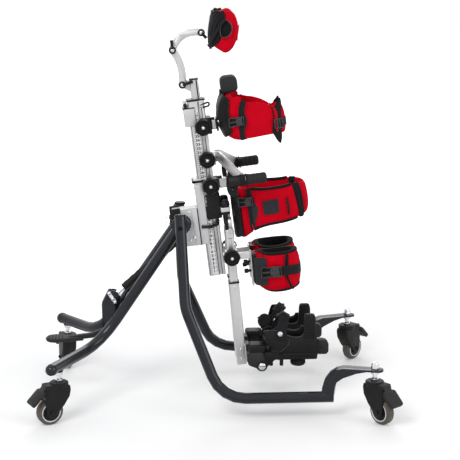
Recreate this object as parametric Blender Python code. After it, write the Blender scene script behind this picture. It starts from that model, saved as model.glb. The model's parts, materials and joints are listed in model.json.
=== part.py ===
"""Pediatric standing frame with a tilting mast, four braked casters and wrap-round supports.

Metres, +Z up, floor at Z = 0. The open side, where the child steps in, is +X and the
near side of the frame is -Y. Everything above the hub is drawn in the mast's own frame:
x forward from the hub axle, y across, z up along the mast.
"""
import math

import bmesh
import bpy
from mathutils import Matrix, Vector

# Clearance between two pieces that touch or run in each other
GAP = 0.0003
RUN_GAP = 0.0006

# Base: bent tubes, floor runs and the four stems
TUBE_D = 0.034
WHEEL_D = 0.080
STEM_SPAN = 0.936
FRONT_TRACK = 0.574
REAR_TRACK = 0.478
RUN_TRACK = 0.510
RUN_Z = 0.068
RUN_START = 0.013
RUN_END = 0.349
LEG_TOP_X = -0.101
LEG_TOP_TRACK = 0.156
LEG_TOP_Z = 0.587
LEG_BEND_X = -0.090
LEG_BEND_Z = 0.325
UPPER_BEND_R = 0.150
LOWER_BEND_R = 0.105
REAR_BEND_X = -0.350
REAR_BEND_TRACK = 0.116
REAR_BEND_RISE = 0.012
REAR_BEND_R = 0.130
REAR_OVERHANG = 0.030

# Hub where the front and rear legs meet and the mast tilts
HUB_X = -0.098
HUB_Z = 0.555
HUB_DISC_D = 0.058
HUB_DISC_T = 0.0345
HUB_TRACK = 0.086
AXLE_D = 0.016
MAST_LEAN = math.radians(7.0)

# Casters
HOOD_RISE = 0.048
HOOD_CAP_D = 0.056
HOOD_CAP_T = 0.010
HOOD_WALL = 0.007
TRAIL = 0.032
WHEEL_W = 0.028
WHEEL_GAP = 0.0015
STEM_D = 0.012
STEM_FREE = 0.030
STEM_DEPTH = 0.018
ARM_T = 0.006
ARM_TOP = 0.163
ARM_W = 0.036
PEDAL_W = 0.045
PEDAL_L = 0.067
PEDAL_T = 0.010
PEDAL_NECK = 0.013
PEDAL_DROP = math.radians(44.0)
PEDAL_HINGE = (0.043, 0.011)
CASTERS = {"rear_near": 206.0, "rear_far": 105.0, "front_near": -52.0, "front_far": 45.0}

# Cross brace and the gas spring that tilts the mast
BRACE_X = -0.299
BRACE_D = 0.024
SPRING_FOOT = (-0.310, 0.317)
SPRING_HEAD = (0.023, -0.030)
SPRING_D = 0.027
SPRING_ROD_D = 0.012
SPRING_PIN_D = 0.010
BOOT_RIBS = 9
PEDAL_PIN = (-0.334, 0.214)
FOOT_PAD = 0.060
FOOT_REACH = 0.188

# Mast and its carriage
MAST_BACK = 0.067
MAST_DEPTH = 0.051
MAST_W = 0.040
MAST_BOTTOM = -0.180
MAST_TOP = 0.366
CHEEK_T = 0.0037
CARRIAGE_LOW = -0.0765
CARRIAGE_HIGH = 0.0415
SLEEVE_TOP = 0.113

# Head support
POST_W = 0.026
HEAD_POST_TOP = MAST_TOP + 0.064
HEAD_POST_IN = 0.110
LINK_W = 0.022
LINK_T = 0.007
HEAD_PIVOTS = ((0.060, MAST_TOP + 0.052), (0.044, MAST_TOP + 0.159), (0.136, MAST_TOP + 0.200))
HEAD_W = 0.170
HEAD_H = 0.124
HEAD_DEPTH = 0.074
HEAD_TONGUE = 0.024
HEAD_RISE = 0.014
HEAD_TURN = math.radians(13.0)

# Clamp knobs and rail carriages
KNOB_D = 0.052
KNOB_T = 0.014
CLAMP_T = 0.0085
CHEST_Z = 0.287
HANDLE_Z = 0.187
PELVIS_Z = 0.105
ARM_TUBE = 0.029
CHEST_REACH = 0.146
PELVIS_REACH = 0.158

# Wrap-round supports: depth forward, width across and wall
CHEST_BACK = 0.158
CHEST_DEPTH = 0.194
CHEST_W = 0.210
CHEST_TAPER = 0.60
CHEST_BOW = 0.021
CHEST_BOW_Z = 0.308
CHEST_LOW = 0.241
CHEST_BACK_TOP = 0.382
CHEST_SIDE_TOP = 0.352
CHEST_FRONT_TOP = 0.328
CHEST_STRAP_Z = 0.302
BELT_BACK_T = 0.034
BELT_FRONT_T = 0.015
BOW_LEVELS = 4
PELVIS_BACK = 0.170
PELVIS_DEPTH = 0.225
PELVIS_W = 0.220
PELVIS_TAPER = 0.42
PELVIS_BACK_LOW = -0.070
PELVIS_SIDE_LOW = -0.026
PELVIS_FRONT_LOW = -0.012
PELVIS_BACK_TOP = 0.086
PELVIS_SIDE_TOP = 0.093
PELVIS_FRONT_TOP = 0.080
PELVIS_STRAP_Z = 0.062
KNEE_BACK = 0.212
KNEE_DEPTH = 0.133
KNEE_W = 0.106
BELT_T = 0.013
SHELL_T = 0.006
CROWN_ROOM = 0.0026
HEAD_ROOM = 0.0030
STRAP_ROOM = 0.0019
COLLAR_X = 0.175
COLLAR_Z = 0.385
CHEST_SHELL_SPAN = math.radians(50.0)
PELVIS_SHELL_SPAN = math.radians(39.0)
BUCKLE_SPAN = 26.0
STRAP_W = 0.022

# Handles
GRIP_D = 0.032
GRIP_L = 0.113
GRIP_MOUNT = 0.052
GRIP_TRACK = 0.300
GRIP_X = 0.156
GRIP_Z = 0.133
BAR_W = 0.028
BAR_T = 0.008

# Legs
LEG_X = 0.144
LEG_PIVOT_Z = -0.016
LEG_TRACK = 0.080
LEG_TUBE = 0.025
LEG_OUTER = 0.030
LEG_LEAN = math.radians(1.6)
LEG_OUTER_TOP = -0.184
LEG_OUTER_LOW = -0.452
LEG_INNER_LOW = -0.300
RATCHET_D = 0.038
KNEE_Z = -0.102
KNEE_TRACK = 0.118

# Feet, in world directions from the ankle bolt
ANKLE_X = 0.148
ANKLE_Z = 0.115
FOOT_TRACK = 0.145
SOLE_L = 0.167
SOLE_W = 0.078
SOLE_T = 0.020
HEEL_H = 0.094
SANDAL_WALL = 0.006

NEAR_FAR = {"near": -1, "far": 1}


def material(name, colour, roughness, metallic=0.0):
    made = bpy.data.materials.new(name)
    made.use_nodes = True
    shader = made.node_tree.nodes["Principled BSDF"]
    shader.inputs["Base Color"].default_value = (*colour, 1.0)
    shader.inputs["Roughness"].default_value = roughness
    shader.inputs["Metallic"].default_value = metallic
    return made


def empty(name, parent=None, at=(0, 0, 0), turn=(0, 0, 0)):
    made = bpy.data.objects.new(name, None)
    bpy.context.scene.collection.objects.link(made)
    made.parent = parent
    made.location = at
    made.rotation_euler = turn
    return made


def piece(name, bm, finish, parent, smooth=35.0):
    """Turn a bmesh into a named object under its parent's frame."""
    bmesh.ops.recalc_face_normals(bm, faces=bm.faces)
    mesh = bpy.data.meshes.new(name)
    bm.to_mesh(mesh)
    bm.free()
    made = bpy.data.objects.new(name, mesh)
    bpy.context.scene.collection.objects.link(made)
    made.parent = parent
    if finish:
        mesh.materials.append(finish)
    mesh.shade_smooth()
    mesh.set_sharp_from_angle(angle=math.radians(smooth))
    return made


def combine(target, operation, *shapes):
    """Cut or weld helper shapes into an object with Boolean modifiers."""
    for number, bm in enumerate(shapes):
        name = f"{target.name}_{operation.lower()}_{len(target.modifiers)}_{number}"
        tool = piece(name, bm, None, target.parent)
        tool.hide_render = True
        tool.display_type = "WIRE"
        change = target.modifiers.new(name, "BOOLEAN")
        change.operation = operation
        change.object = tool
        change.solver = "EXACT"
    return target


def cut(target, *shapes):
    return combine(target, "DIFFERENCE", *shapes)


def weld(target, *shapes):
    return combine(target, "UNION", *shapes)


def block(low, high, bevel=0.0, segments=2):
    """Box between two corners, with its edges rounded."""
    bm = bmesh.new()
    bmesh.ops.create_cube(bm, size=1.0)
    low, high = Vector(low), Vector(high)
    size = high - low
    bmesh.ops.scale(bm, vec=size, verts=bm.verts)
    bmesh.ops.translate(bm, vec=(low + high) / 2, verts=bm.verts)
    if bevel:
        soften(bm, bevel, segments)
    return bm


def soften(bm, width, segments=2, edges=None):
    bmesh.ops.bevel(bm, geom=list(edges or bm.edges), offset=width, segments=segments,
                    profile=0.5, affect="EDGES", clamp_overlap=True)


def aim(axis):
    """Rotation that turns +Z onto an axis."""
    return Vector((0, 0, 1)).rotation_difference(Vector(axis)).to_matrix().to_4x4()


def rod(start, end, radius, sides=16):
    """Round bar between two points."""
    bm = bmesh.new()
    start, end = Vector(start), Vector(end)
    bmesh.ops.create_cone(bm, cap_ends=True, segments=sides, radius1=radius,
                          radius2=radius, depth=(end - start).length)
    place = Matrix.Translation((start + end) / 2) @ aim(end - start)
    bmesh.ops.transform(bm, matrix=place, verts=bm.verts)
    return bm


def plate(outline, low, high):
    """Outline in x and z, given thickness across y."""
    bm = bmesh.new()
    corners = [bm.verts.new((x, low, z)) for x, z in outline]
    face = bm.faces.new(corners)
    grown = bmesh.ops.extrude_face_region(bm, geom=[face])
    moved = [v for v in grown["geom"] if isinstance(v, bmesh.types.BMVert)]
    bmesh.ops.translate(bm, vec=(0, high - low, 0), verts=moved)
    return bm


def pillar(outline, low, high):
    """Outline in x and y, given height along z."""
    bm = bmesh.new()
    corners = [bm.verts.new((x, y, low)) for x, y in outline]
    face = bm.faces.new(corners)
    grown = bmesh.ops.extrude_face_region(bm, geom=[face])
    moved = [v for v in grown["geom"] if isinstance(v, bmesh.types.BMVert)]
    bmesh.ops.translate(bm, vec=(0, 0, high - low), verts=moved)
    return bm


def lathe(profile, at, axis, sides=20):
    """Closed solid turned about an axis; the profile is (radius, height) pairs."""
    bm = bmesh.new()
    rings = []
    for radius, height in profile:
        turns = [2 * math.pi * k / sides for k in range(sides)]
        if radius < GAP:
            rings.append([bm.verts.new((0, 0, height))])
        else:
            rings.append([bm.verts.new((radius * math.cos(t), radius * math.sin(t), height))
                          for t in turns])
    for lower, upper in zip(rings, rings[1:]):
        bridge(bm, lower, upper)
    for ring in (rings[0], rings[-1]):
        if len(ring) > 1:
            bm.faces.new(ring)
    bmesh.ops.transform(bm, matrix=Matrix.Translation(at) @ aim(axis), verts=bm.verts)
    return bm


def bridge(bm, lower, upper):
    """Faces between two rings, where either may be a single pole."""
    count = max(len(lower), len(upper))
    for k in range(count):
        n = (k + 1) % count
        if len(lower) == 1:
            bm.faces.new((lower[0], upper[n], upper[k]))
        elif len(upper) == 1:
            bm.faces.new((lower[k], lower[n], upper[0]))
        else:
            bm.faces.new((lower[k], lower[n], upper[n], upper[k]))


def arc(centre, radius, start, end, steps):
    """Points on a circle, angles in degrees."""
    turns = [math.radians(start + (end - start) * k / steps) for k in range(steps + 1)]
    return [(centre[0] + radius * math.cos(t), centre[1] + radius * math.sin(t))
            for t in turns]


def rounded(points, radii, steps=4):
    """Path through straight runs with a bend of its own radius at each corner."""
    points = [Vector(p) for p in points]
    path = [points[0]]
    for before, corner, after, radius in zip(points, points[1:], points[2:], radii):
        a, b = (before - corner).normalized(), (after - corner).normalized()
        half = a.angle(b) / 2
        reach = radius / math.tan(half)
        centre = corner + (a + b).normalized() * radius / math.sin(half)
        first = (corner + a * reach - centre).normalized()
        last = (corner + b * reach - centre).normalized()
        for k in range(steps + 1):
            path.append(centre + first.slerp(last, k / steps) * radius)
    return path + [points[-1]]


def sweep(path, section):
    """Section (side, up) carried along a path without twisting; both ends are closed."""
    bm = bmesh.new()
    path = [Vector(p) for p in path]
    count = len(path)
    heading = [(path[min(k + 1, count - 1)] - path[max(k - 1, 0)]).normalized()
               for k in range(count)]
    side = heading[0].cross(Vector((0, 0, 1)))
    if side.length < 0.1:
        side = Vector((1, 0, 0))
    side.normalize()
    rings = []
    for k, (point, along) in enumerate(zip(path, heading)):
        side = (side - along * side.dot(along)).normalized()
        up = side.cross(along)
        shape = section(k) if callable(section) else section
        rings.append([bm.verts.new(point + side * x + up * z) for x, z in shape])
    for lower, upper in zip(rings, rings[1:]):
        bridge(bm, lower, upper)
    bm.faces.new(rings[0])
    bm.faces.new(rings[-1])
    return bm


def circle(radius, sides=12):
    return arc((0, 0), radius, 0, 360 * (sides - 1) / sides, sides - 1)


def add(bm, *others):
    """Gather separate solids in one bmesh."""
    for other in others:
        holder = bpy.data.meshes.new("holder")
        other.to_mesh(holder)
        other.free()
        bm.from_mesh(holder)
        bpy.data.meshes.remove(holder)
    return bm


def moved(bm, at=(0, 0, 0), turn=None):
    spin = turn.to_4x4() if turn else Matrix.Identity(4)
    bmesh.ops.transform(bm, matrix=Matrix.Translation(at) @ spin, verts=bm.verts)
    return bm


def mirrored(bm):
    bmesh.ops.scale(bm, vec=(1, -1, 1), verts=bm.verts)
    bmesh.ops.recalc_face_normals(bm, faces=bm.faces)
    return bm


# Shared heights and places worked out from the driving sizes
WHEEL_R = WHEEL_D / 2
TUBE_R = TUBE_D / 2
HOOD_TOP = WHEEL_D + HOOD_RISE
SEAT_Z = HOOD_TOP + STEM_FREE
STEMS = {
    "rear_near": (-STEM_SPAN / 2, -REAR_TRACK / 2),
    "rear_far": (-STEM_SPAN / 2, REAR_TRACK / 2),
    "front_near": (STEM_SPAN / 2, -FRONT_TRACK / 2),
    "front_far": (STEM_SPAN / 2, FRONT_TRACK / 2),
}
HOOD_W = WHEEL_W + 2 * WHEEL_GAP + 2 * HOOD_WALL
DISC_IN = HUB_TRACK / 2 - HUB_DISC_T / 2
DISC_OUT = HUB_TRACK / 2 + HUB_DISC_T / 2
CHEEK_OUT = DISC_IN - 0.0025
CHEEK_IN = CHEEK_OUT - CHEEK_T
MAST_FRONT = MAST_BACK + MAST_DEPTH
MAST_HALF = MAST_W / 2
WEB_FRONT = MAST_BACK - 0.0105
SLEEVE_FRONT = MAST_BACK + 0.0155


def leg_track(height):
    """Half the distance between the front legs at a height: they splay evenly."""
    share = (LEG_TOP_Z - height) / (LEG_TOP_Z - RUN_Z)
    return (LEG_TOP_TRACK + (RUN_TRACK - LEG_TOP_TRACK) * share) / 2


def toe_arm(side):
    """Pressed channel arm that rises from the floor run and carries the stem."""
    stem_x, stem_y = STEM_SPAN / 2, FRONT_TRACK / 2
    start = Vector((RUN_END, RUN_TRACK / 2, 0))
    reach = Vector((stem_x, stem_y, 0)) - start
    low, top = ARM_TOP - ARM_T, ARM_TOP
    tip = reach.length + ARM_W / 2 + 0.007
    foot = RUN_Z + TUBE_R * 0.2
    outline = [(-0.034, foot), (-0.032, RUN_Z + 0.030), (-0.025, top - 0.038),
               (-0.012, top - 0.020), (0.006, top - 0.007), (0.028, top), (tip, top),
               (tip, low), (0.100, low), (0.070, low - 0.007), (0.030, low - 0.024),
               (0.012, low - 0.038), (0.006, RUN_Z + 0.034), (0.003, foot)]
    arm = plate(outline, -ARM_W / 2, ARM_W / 2)
    ends = [e for e in arm.edges if all(abs(v.co.x - tip) < GAP for v in e.verts)
            and abs(e.verts[0].co.y - e.verts[1].co.y) < GAP]
    soften(arm, ARM_W * 0.45, 4, ends)
    hollow = plate([(0.008, low - 0.060), (0.010, low - 0.024), (0.034, low - 0.006),
                    (0.062, low + 0.001), (0.095, low - 0.002), (0.075, low - 0.060)],
                   -ARM_W / 2 + 0.004, ARM_W / 2 - 0.004)
    turn = Matrix.Rotation(math.atan2(reach.y, reach.x), 3, "Z")
    shapes = [moved(arm, start, turn), moved(hollow, start, turn)]
    if side < 0:
        shapes = [mirrored(shape) for shape in shapes]
    return shapes


def front_leg(name, side, finish, base):
    points = [(LEG_TOP_X, leg_track(LEG_TOP_Z), LEG_TOP_Z),
              (LEG_BEND_X, leg_track(LEG_BEND_Z), LEG_BEND_Z),
              (RUN_START, RUN_TRACK / 2, RUN_Z), (RUN_END, RUN_TRACK / 2, RUN_Z)]
    points = [(x, side * y, z) for x, y, z in points]
    path = rounded(points, (UPPER_BEND_R, LOWER_BEND_R))
    made = piece(f"front_leg_{name}", sweep(path, circle(TUBE_R)), finish, base)
    arm, hollow = toe_arm(side)
    inner = DISC_OUT + GAP
    boss = rod((HUB_X, side * inner, HUB_Z), (HUB_X, side * leg_track(HUB_Z), HUB_Z), 0.013)
    weld(made, arm, boss)
    cut(made, hollow)
    top = (path[0] - path[1]).normalized()
    weld(made, tube_cap(path[0], top),
         stem(STEM_SPAN / 2, side * FRONT_TRACK / 2, ARM_TOP, True))
    return made


def rear_leg(name, side, finish, base):
    seat = Vector((-STEM_SPAN / 2, side * REAR_TRACK / 2, SEAT_Z + TUBE_R))
    bend = Vector((REAR_BEND_X, side * REAR_BEND_TRACK / 2, SEAT_Z + TUBE_R + REAR_BEND_RISE))
    tail = seat + (seat - bend).normalized() * REAR_OVERHANG
    hub = Vector((HUB_X, side * HUB_TRACK / 2, HUB_Z))
    path = rounded((hub, bend, tail), (REAR_BEND_R,))
    made = piece(f"rear_leg_{name}", sweep(path, circle(TUBE_R)), finish, base)
    disc = lathe([(0.022, -HUB_DISC_T / 2), (HUB_DISC_D / 2, -HUB_DISC_T / 2 + 0.003),
                  (HUB_DISC_D / 2, HUB_DISC_T / 2 - 0.003), (0.022, HUB_DISC_T / 2)],
                 hub, (0, 1, 0), 20)
    socket = rod((seat.x, seat.y, SEAT_Z), seat, 0.011)
    weld(made, disc, socket, tube_dome(tail, tail - seat), stem(seat.x, seat.y, seat.z, False))
    cut(made, rod((HUB_X, -0.1, HUB_Z), (HUB_X, 0.1, HUB_Z), AXLE_D / 2 + GAP))
    return made


def tube_cap(at, heading):
    """Flat plug with a lip that closes a leg's top."""
    return lathe([(TUBE_R + 0.001, -0.001), (TUBE_R + 0.001, 0.004), (TUBE_R - 0.003, 0.0065)],
                 at, heading, 12)


def tube_dome(at, heading):
    """Domed plug on a rear leg's end."""
    dome = [(TUBE_R + 0.001, -0.001), (TUBE_R + 0.001, 0.006)]
    dome += [(x, 0.006 + z) for x, z in arc((0, 0), TUBE_R + 0.0005, 20, 90, 3)]
    return lathe(dome, at, heading, 12)


def stem(x, y, top, nut):
    """Caster stem with its lock nut, and a dome nut above where it passes through an arm."""
    radius, seat = STEM_D / 2, (ARM_TOP - ARM_T if nut else SEAT_Z) - 0.008
    profile = [(radius, HOOD_TOP - STEM_DEPTH), (radius, HOOD_TOP + GAP), (0.011, HOOD_TOP + GAP),
               (0.011, HOOD_TOP + 0.008), (radius, HOOD_TOP + 0.010), (radius, seat),
               (0.011, seat), (0.011, seat + 0.009), (radius, seat + 0.009), (radius, top)]
    if nut:
        profile[-1:] = [(radius, top - 0.001), (0.011, top - 0.001), (0.011, top + 0.012),
                        (0.0085, top + 0.019), (0.004, top + 0.022)]
    return lathe(profile, (x, y, 0), (0, 0, 1), 10)


def rear_brace(finish, base):
    """Cross tube between the rear legs with the two plates that hold the spring's foot."""
    hub = Vector((HUB_X, HUB_TRACK / 2, HUB_Z))
    bend = Vector((REAR_BEND_X, REAR_BEND_TRACK / 2, SEAT_Z + TUBE_R + REAR_BEND_RISE))
    share = (BRACE_X - hub.x) / (bend.x - hub.x)
    seat = hub.lerp(bend, share)
    half = seat.y + TUBE_R * 0.5
    made = piece("rear_brace", rod((seat.x, -half, seat.z), (seat.x, half, seat.z),
                                   BRACE_D / 2, 12), finish, base)
    fx, fz = SPRING_FOOT
    px, pz = PEDAL_PIN
    outline = [(px - 0.010, pz + 0.010), (px - 0.009, pz - 0.009), (px + 0.010, pz - 0.010),
               (seat.x + 0.010, seat.z - 0.008),
               (seat.x + 0.014, seat.z + 0.020), (fx + 0.024, fz - 0.010),
               (fx + 0.018, fz + 0.012)]
    outline += arc((fx, fz), 0.024, 50, 140, 4) + [(fx - 0.035, fz - 0.018)]
    inner = SPRING_D / 2 - 0.004
    for side in NEAR_FAR.values():
        low, high = sorted((side * inner, side * (inner + 0.004)))
        weld(made, plate(outline, low, high))
    for x, z in (SPRING_FOOT, PEDAL_PIN):
        weld(made, rod((x, -inner - 0.009, z), (x, inner + 0.009, z), SPRING_PIN_D / 2, 10))
    legs = []
    for side in NEAR_FAR.values():
        ends = [Vector((p.x, side * p.y, p.z)) for p in (hub, bend)]
        legs.append(sweep([ends[0], ends[1]], circle(TUBE_R + GAP, 12)))
    cut(made, *legs)
    return made


def tilt_pedal(finish, base):
    """Foot pedal behind the brace: a bar hinged between the spring plates and a broad pad."""
    axis = empty("tilt_pedal_axis", base, (PEDAL_PIN[0], 0, PEDAL_PIN[1]))
    wall = SPRING_D / 2 - 0.004 - GAP
    made = piece("tilt_pedal", rod((0, -wall, 0), (0, wall, 0), 0.009, 14), finish, axis)
    bar = plate([(0.0, 0.007), (-0.045, -0.012), (-0.120, -0.021), (-0.120, -0.033),
                 (-0.042, -0.026), (0.0, -0.008)], -wall + 0.001, wall - 0.001)
    pad = pillar([(-0.070, -0.012)] + arc((FOOT_PAD / 2 - FOOT_REACH, 0), FOOT_PAD / 2, -90, -270, 6)
                 + [(-0.070, 0.012)], -0.034, -0.022)
    soften(pad, 0.003, 1, [e for e in pad.edges if abs(e.verts[0].co.z - e.verts[1].co.z) < GAP])
    weld(made, bar, pad)
    cut(made, rod((0, -0.05, 0), (0, 0.05, 0), SPRING_PIN_D / 2 + GAP, 12))
    return made


def caster_hood(name, finish, swivel):
    """Moulded fork that hides the top of the wheel, with a cap under the stem."""
    hinge_x, hinge_z = pedal_hinge()
    lobe = arc((TRAIL, WHEEL_R), 0.017, 205, 370, 4)
    outline = [(-0.028, HOOD_TOP - 0.012), (-0.030, HOOD_TOP - 0.024),
               (-0.026, HOOD_TOP - 0.044), (-0.008, HOOD_TOP - 0.070)] + lobe
    outline += [(0.050, HOOD_TOP - 0.056), (hinge_x + 0.007, hinge_z - 0.023),
                (hinge_x + 0.003, hinge_z - 0.0140), (hinge_x + 0.0065, hinge_z - 0.004),
                (hinge_x + 0.003, hinge_z + 0.007), (0.024, HOOD_TOP - 0.004)]
    body = plate(outline, -HOOD_W / 2, HOOD_W / 2)
    rim = [e for e in body.edges if abs(e.verts[0].co.y - e.verts[1].co.y) < GAP]
    soften(body, 0.004, 1, rim)
    made = piece(f"caster_hood_{name}", body, finish, swivel)
    cap = lathe([(HOOD_CAP_D / 2 - 0.002, HOOD_TOP - HOOD_CAP_T - 0.006),
                 (HOOD_CAP_D / 2, HOOD_TOP - HOOD_CAP_T), (HOOD_CAP_D / 2, HOOD_TOP - 0.002),
                 (HOOD_CAP_D / 2 - 0.003, HOOD_TOP)], (0, 0, 0), (0, 0, 1), 16)
    weld(made, cap)
    slot = WHEEL_W / 2 + WHEEL_GAP
    arch = rod((TRAIL, -slot, WHEEL_R), (TRAIL, slot, WHEEL_R), WHEEL_R + 0.0035, 16)
    down = block((TRAIL - WHEEL_R - 0.003, -slot, -0.02),
                 (TRAIL + WHEEL_R + 0.003, slot, WHEEL_R))
    bore = rod((TRAIL, -0.05, WHEEL_R), (TRAIL, 0.05, WHEEL_R), 0.004 + RUN_GAP, 8)
    pocket = rod((hinge_x, -slot, hinge_z), (hinge_x, slot, hinge_z), 0.0065 + RUN_GAP, 8)
    mouth = block((hinge_x - 0.0012, -slot, hinge_z - 0.028), (hinge_x + 0.05, slot, hinge_z + 0.02))
    socket = rod((0, 0, HOOD_TOP - STEM_DEPTH - RUN_GAP), (0, 0, HOOD_TOP + 0.01),
                 STEM_D / 2 + GAP, 12)
    cut(made, arch, down, bore, pocket, mouth, socket)
    return made


def pedal_hinge():
    return PEDAL_HINGE[0], HOOD_TOP - PEDAL_HINGE[1]


def caster_wheel(name, finish, axle):
    """Tyre, side ring, recessed hub disc and axle stubs turned in one profile."""
    half = WHEEL_W / 2
    rim = [(0.004, -half - WHEEL_GAP - HOOD_WALL + GAP), (0.004, -half + 0.004),
           (0.0255, -half + 0.004), (0.0275, -half), (0.0345, -half), (WHEEL_R, -half + 0.006)]
    profile = rim + [(r, -h) for r, h in reversed(rim)]
    return piece(f"caster_wheel_{name}", lathe(profile, (0, 0, 0), (0, 1, 0), 22),
                 finish, axle)


def brake_pedal(name, finish, hinge):
    """Foot pedal: a barrel between the fork's cheeks and a broad paddle that slopes down."""
    barrel = WHEEL_W / 2 + WHEEL_GAP - GAP
    made = piece(f"brake_pedal_{name}", rod((0, -barrel, 0), (0, barrel, 0), 0.0065, 12),
                 finish, hinge)
    neck = block((0.0, -0.0145, -PEDAL_T / 2), (PEDAL_NECK + 0.002, 0.0145, PEDAL_T / 2 - 0.001))
    paddle = block((PEDAL_NECK, -PEDAL_W / 2, -PEDAL_T / 2), (PEDAL_L, PEDAL_W / 2, PEDAL_T / 2))
    soften(paddle, 0.004, 2)
    turn = Matrix.Rotation(PEDAL_DROP, 3, "Y")
    weld(made, moved(neck, turn=turn), moved(paddle, turn=turn))
    return made


def casters(root, finishes):
    for name, (x, y) in STEMS.items():
        swivel = empty(f"swivel_{name}", root, (x, y, 0),
                       (0, 0, math.radians(CASTERS[name])))
        axle = empty(f"axle_{name}", swivel, (TRAIL, 0, WHEEL_R))
        hinge_x, hinge_z = pedal_hinge()
        hinge = empty(f"pedal_{name}", swivel, (hinge_x, 0, hinge_z))
        caster_hood(name, finishes["black"], swivel)
        caster_wheel(name, finishes["tread"], axle)
        brake_pedal(name, finishes["black"], hinge)


def tilt_carriage(finish, tilt):
    """Channel that turns on the axle, with the U sleeve that grips the mast's back."""
    outline = [(-0.026, -0.016), (-0.026, CARRIAGE_HIGH - 0.006),
               (-0.020, CARRIAGE_HIGH), (WEB_FRONT, CARRIAGE_HIGH),
               (WEB_FRONT, CARRIAGE_LOW), (0.012, CARRIAGE_LOW), (0.004, CARRIAGE_LOW + 0.006)]
    made = piece("tilt_carriage", plate(outline, -CHEEK_OUT, CHEEK_OUT), finish, tilt)
    inside = block((-0.05, -CHEEK_IN, CARRIAGE_LOW - 0.01),
                   (WEB_FRONT - CHEEK_T, CHEEK_IN, CARRIAGE_HIGH - CHEEK_T))
    cut(made, inside)
    head_x, head_z = SPRING_HEAD
    pin = rod((head_x, -CHEEK_IN - 0.001, head_z), (head_x, CHEEK_IN + 0.001, head_z),
              SPRING_PIN_D / 2)
    cheek = MAST_HALF + 0.006
    sleeve = block((WEB_FRONT - 0.001, -cheek, CARRIAGE_LOW),
                   (SLEEVE_FRONT, cheek, SLEEVE_TOP), 0.002, 1)
    cap = block((WEB_FRONT - 0.002, -cheek - 0.001, SLEEVE_TOP - 0.001),
                (MAST_BACK + 0.017, cheek + 0.001, SLEEVE_TOP + 0.017), 0.002, 1)
    weld(made, pin, sleeve, cap)
    for side in NEAR_FAR.values():
        bolt = rod((0.037, side * (CHEEK_OUT - 0.002), -0.050),
                   (0.037, side * (CHEEK_OUT + 0.0015), -0.050), 0.005, 6)
        weld(made, bolt)
    way = block((MAST_BACK - GAP, -MAST_HALF - GAP, CARRIAGE_LOW - 0.01),
                (MAST_FRONT, MAST_HALF + GAP, SLEEVE_TOP + 0.03))
    cut(made, way)
    weld(made, rod((0, -DISC_OUT, 0), (0, DISC_OUT, 0), AXLE_D / 2, 20))
    return made


def mast_rail(finish, tilt):
    """Slotted aluminium extrusion with a square bore for the head post."""
    half, lip, deep = MAST_HALF, 0.0018, 0.0050
    slot = MAST_FRONT - 0.013
    edge = [(MAST_BACK + 0.002, half), (slot - 0.004, half), (slot - 0.004, half - lip),
            (slot - 0.0065, half - lip), (slot - 0.0065, half - deep),
            (slot + 0.0065, half - deep), (slot + 0.0065, half - lip),
            (slot + 0.004, half - lip), (slot + 0.004, half), (MAST_FRONT - 0.002, half),
            (MAST_FRONT, half - 0.002)]
    edge = [(MAST_BACK, half - 0.002)] + edge
    outline = edge + [(x, -y) for x, y in reversed(edge)]
    made = piece("mast_rail", pillar(outline, MAST_BOTTOM, MAST_TOP), finish, tilt)
    hole = POST_W / 2 + GAP
    centre = mast_centre()
    cut(made, block((centre - hole, -hole, MAST_BOTTOM - 0.01),
                    (centre + hole, hole, MAST_TOP + 0.01)))
    return made


def mast_centre():
    return MAST_BACK + MAST_DEPTH / 2 + 0.003


def spring_frames(root, tilt):
    """Foot pin of the gas spring and the direction from it to the carriage's pin."""
    foot = Vector((SPRING_FOOT[0], 0, SPRING_FOOT[1]))
    x, z = SPRING_HEAD
    lean = MAST_LEAN
    head = Vector((HUB_X + x * math.cos(lean) - z * math.sin(lean), 0,
                   HUB_Z + x * math.sin(lean) + z * math.cos(lean)))
    reach = head - foot
    turn = -math.atan2(reach.z, reach.x)
    return foot, reach.length, turn


def gas_spring(root, finishes):
    foot, length, turn = spring_frames(root, None)
    lower = empty("spring_foot", root, foot, (0, turn, 0))
    upper = empty("spring_slide", root, foot, (0, turn, 0))
    eye = SPRING_PIN_D / 2
    half = SPRING_D / 2 - 0.004 - GAP
    clevis = piece("spring_rod", lathe([(0.012, -half), (0.013, -half + 0.002),
                                        (0.013, half - 0.002), (0.012, half)],
                                       (0, 0, 0), (0, 1, 0), 18), finishes["chrome"], lower)
    nut = rod((0.008, 0, 0), (0.024, 0, 0), 0.0095, 6)
    shaft = rod((0.020, 0, 0), (length * 0.55, 0, 0), SPRING_ROD_D / 2, 12)
    weld(clevis, nut, shaft)
    cut(clevis, rod((0, -0.05, 0), (0, 0.05, 0), eye + GAP, 12))
    start, end = 0.046, length - 0.030
    ribs = [(SPRING_D / 2 - 0.002, start), (SPRING_D / 2, start + 0.002)]
    pitch = (end - start - 0.020) / (2 * BOOT_RIBS)
    for k in range(2 * BOOT_RIBS):
        radius = SPRING_D / 2 - (0.0 if k % 2 else 0.0015)
        ribs.append((radius, start + 0.004 + k * pitch))
    ribs += [(SPRING_D / 2 - 0.001, end), (0.008, end + 0.006), (0.008, end + 0.020)]
    boot = piece("spring_sleeve", lathe(ribs, (0, 0, 0), (1, 0, 0), 12),
                 finishes["black"], upper)
    eye_end = lathe([(0.0105, -0.006), (0.0105, 0.006)], (length, 0, 0), (0, 1, 0), 16)
    weld(boot, eye_end)
    cut(boot, rod((start - 0.01, 0, 0), (length * 0.60, 0, 0), SPRING_ROD_D / 2 + RUN_GAP, 12),
        rod((length, -0.05, 0), (length, 0.05, 0), eye + 0.0012, 14))


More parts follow.
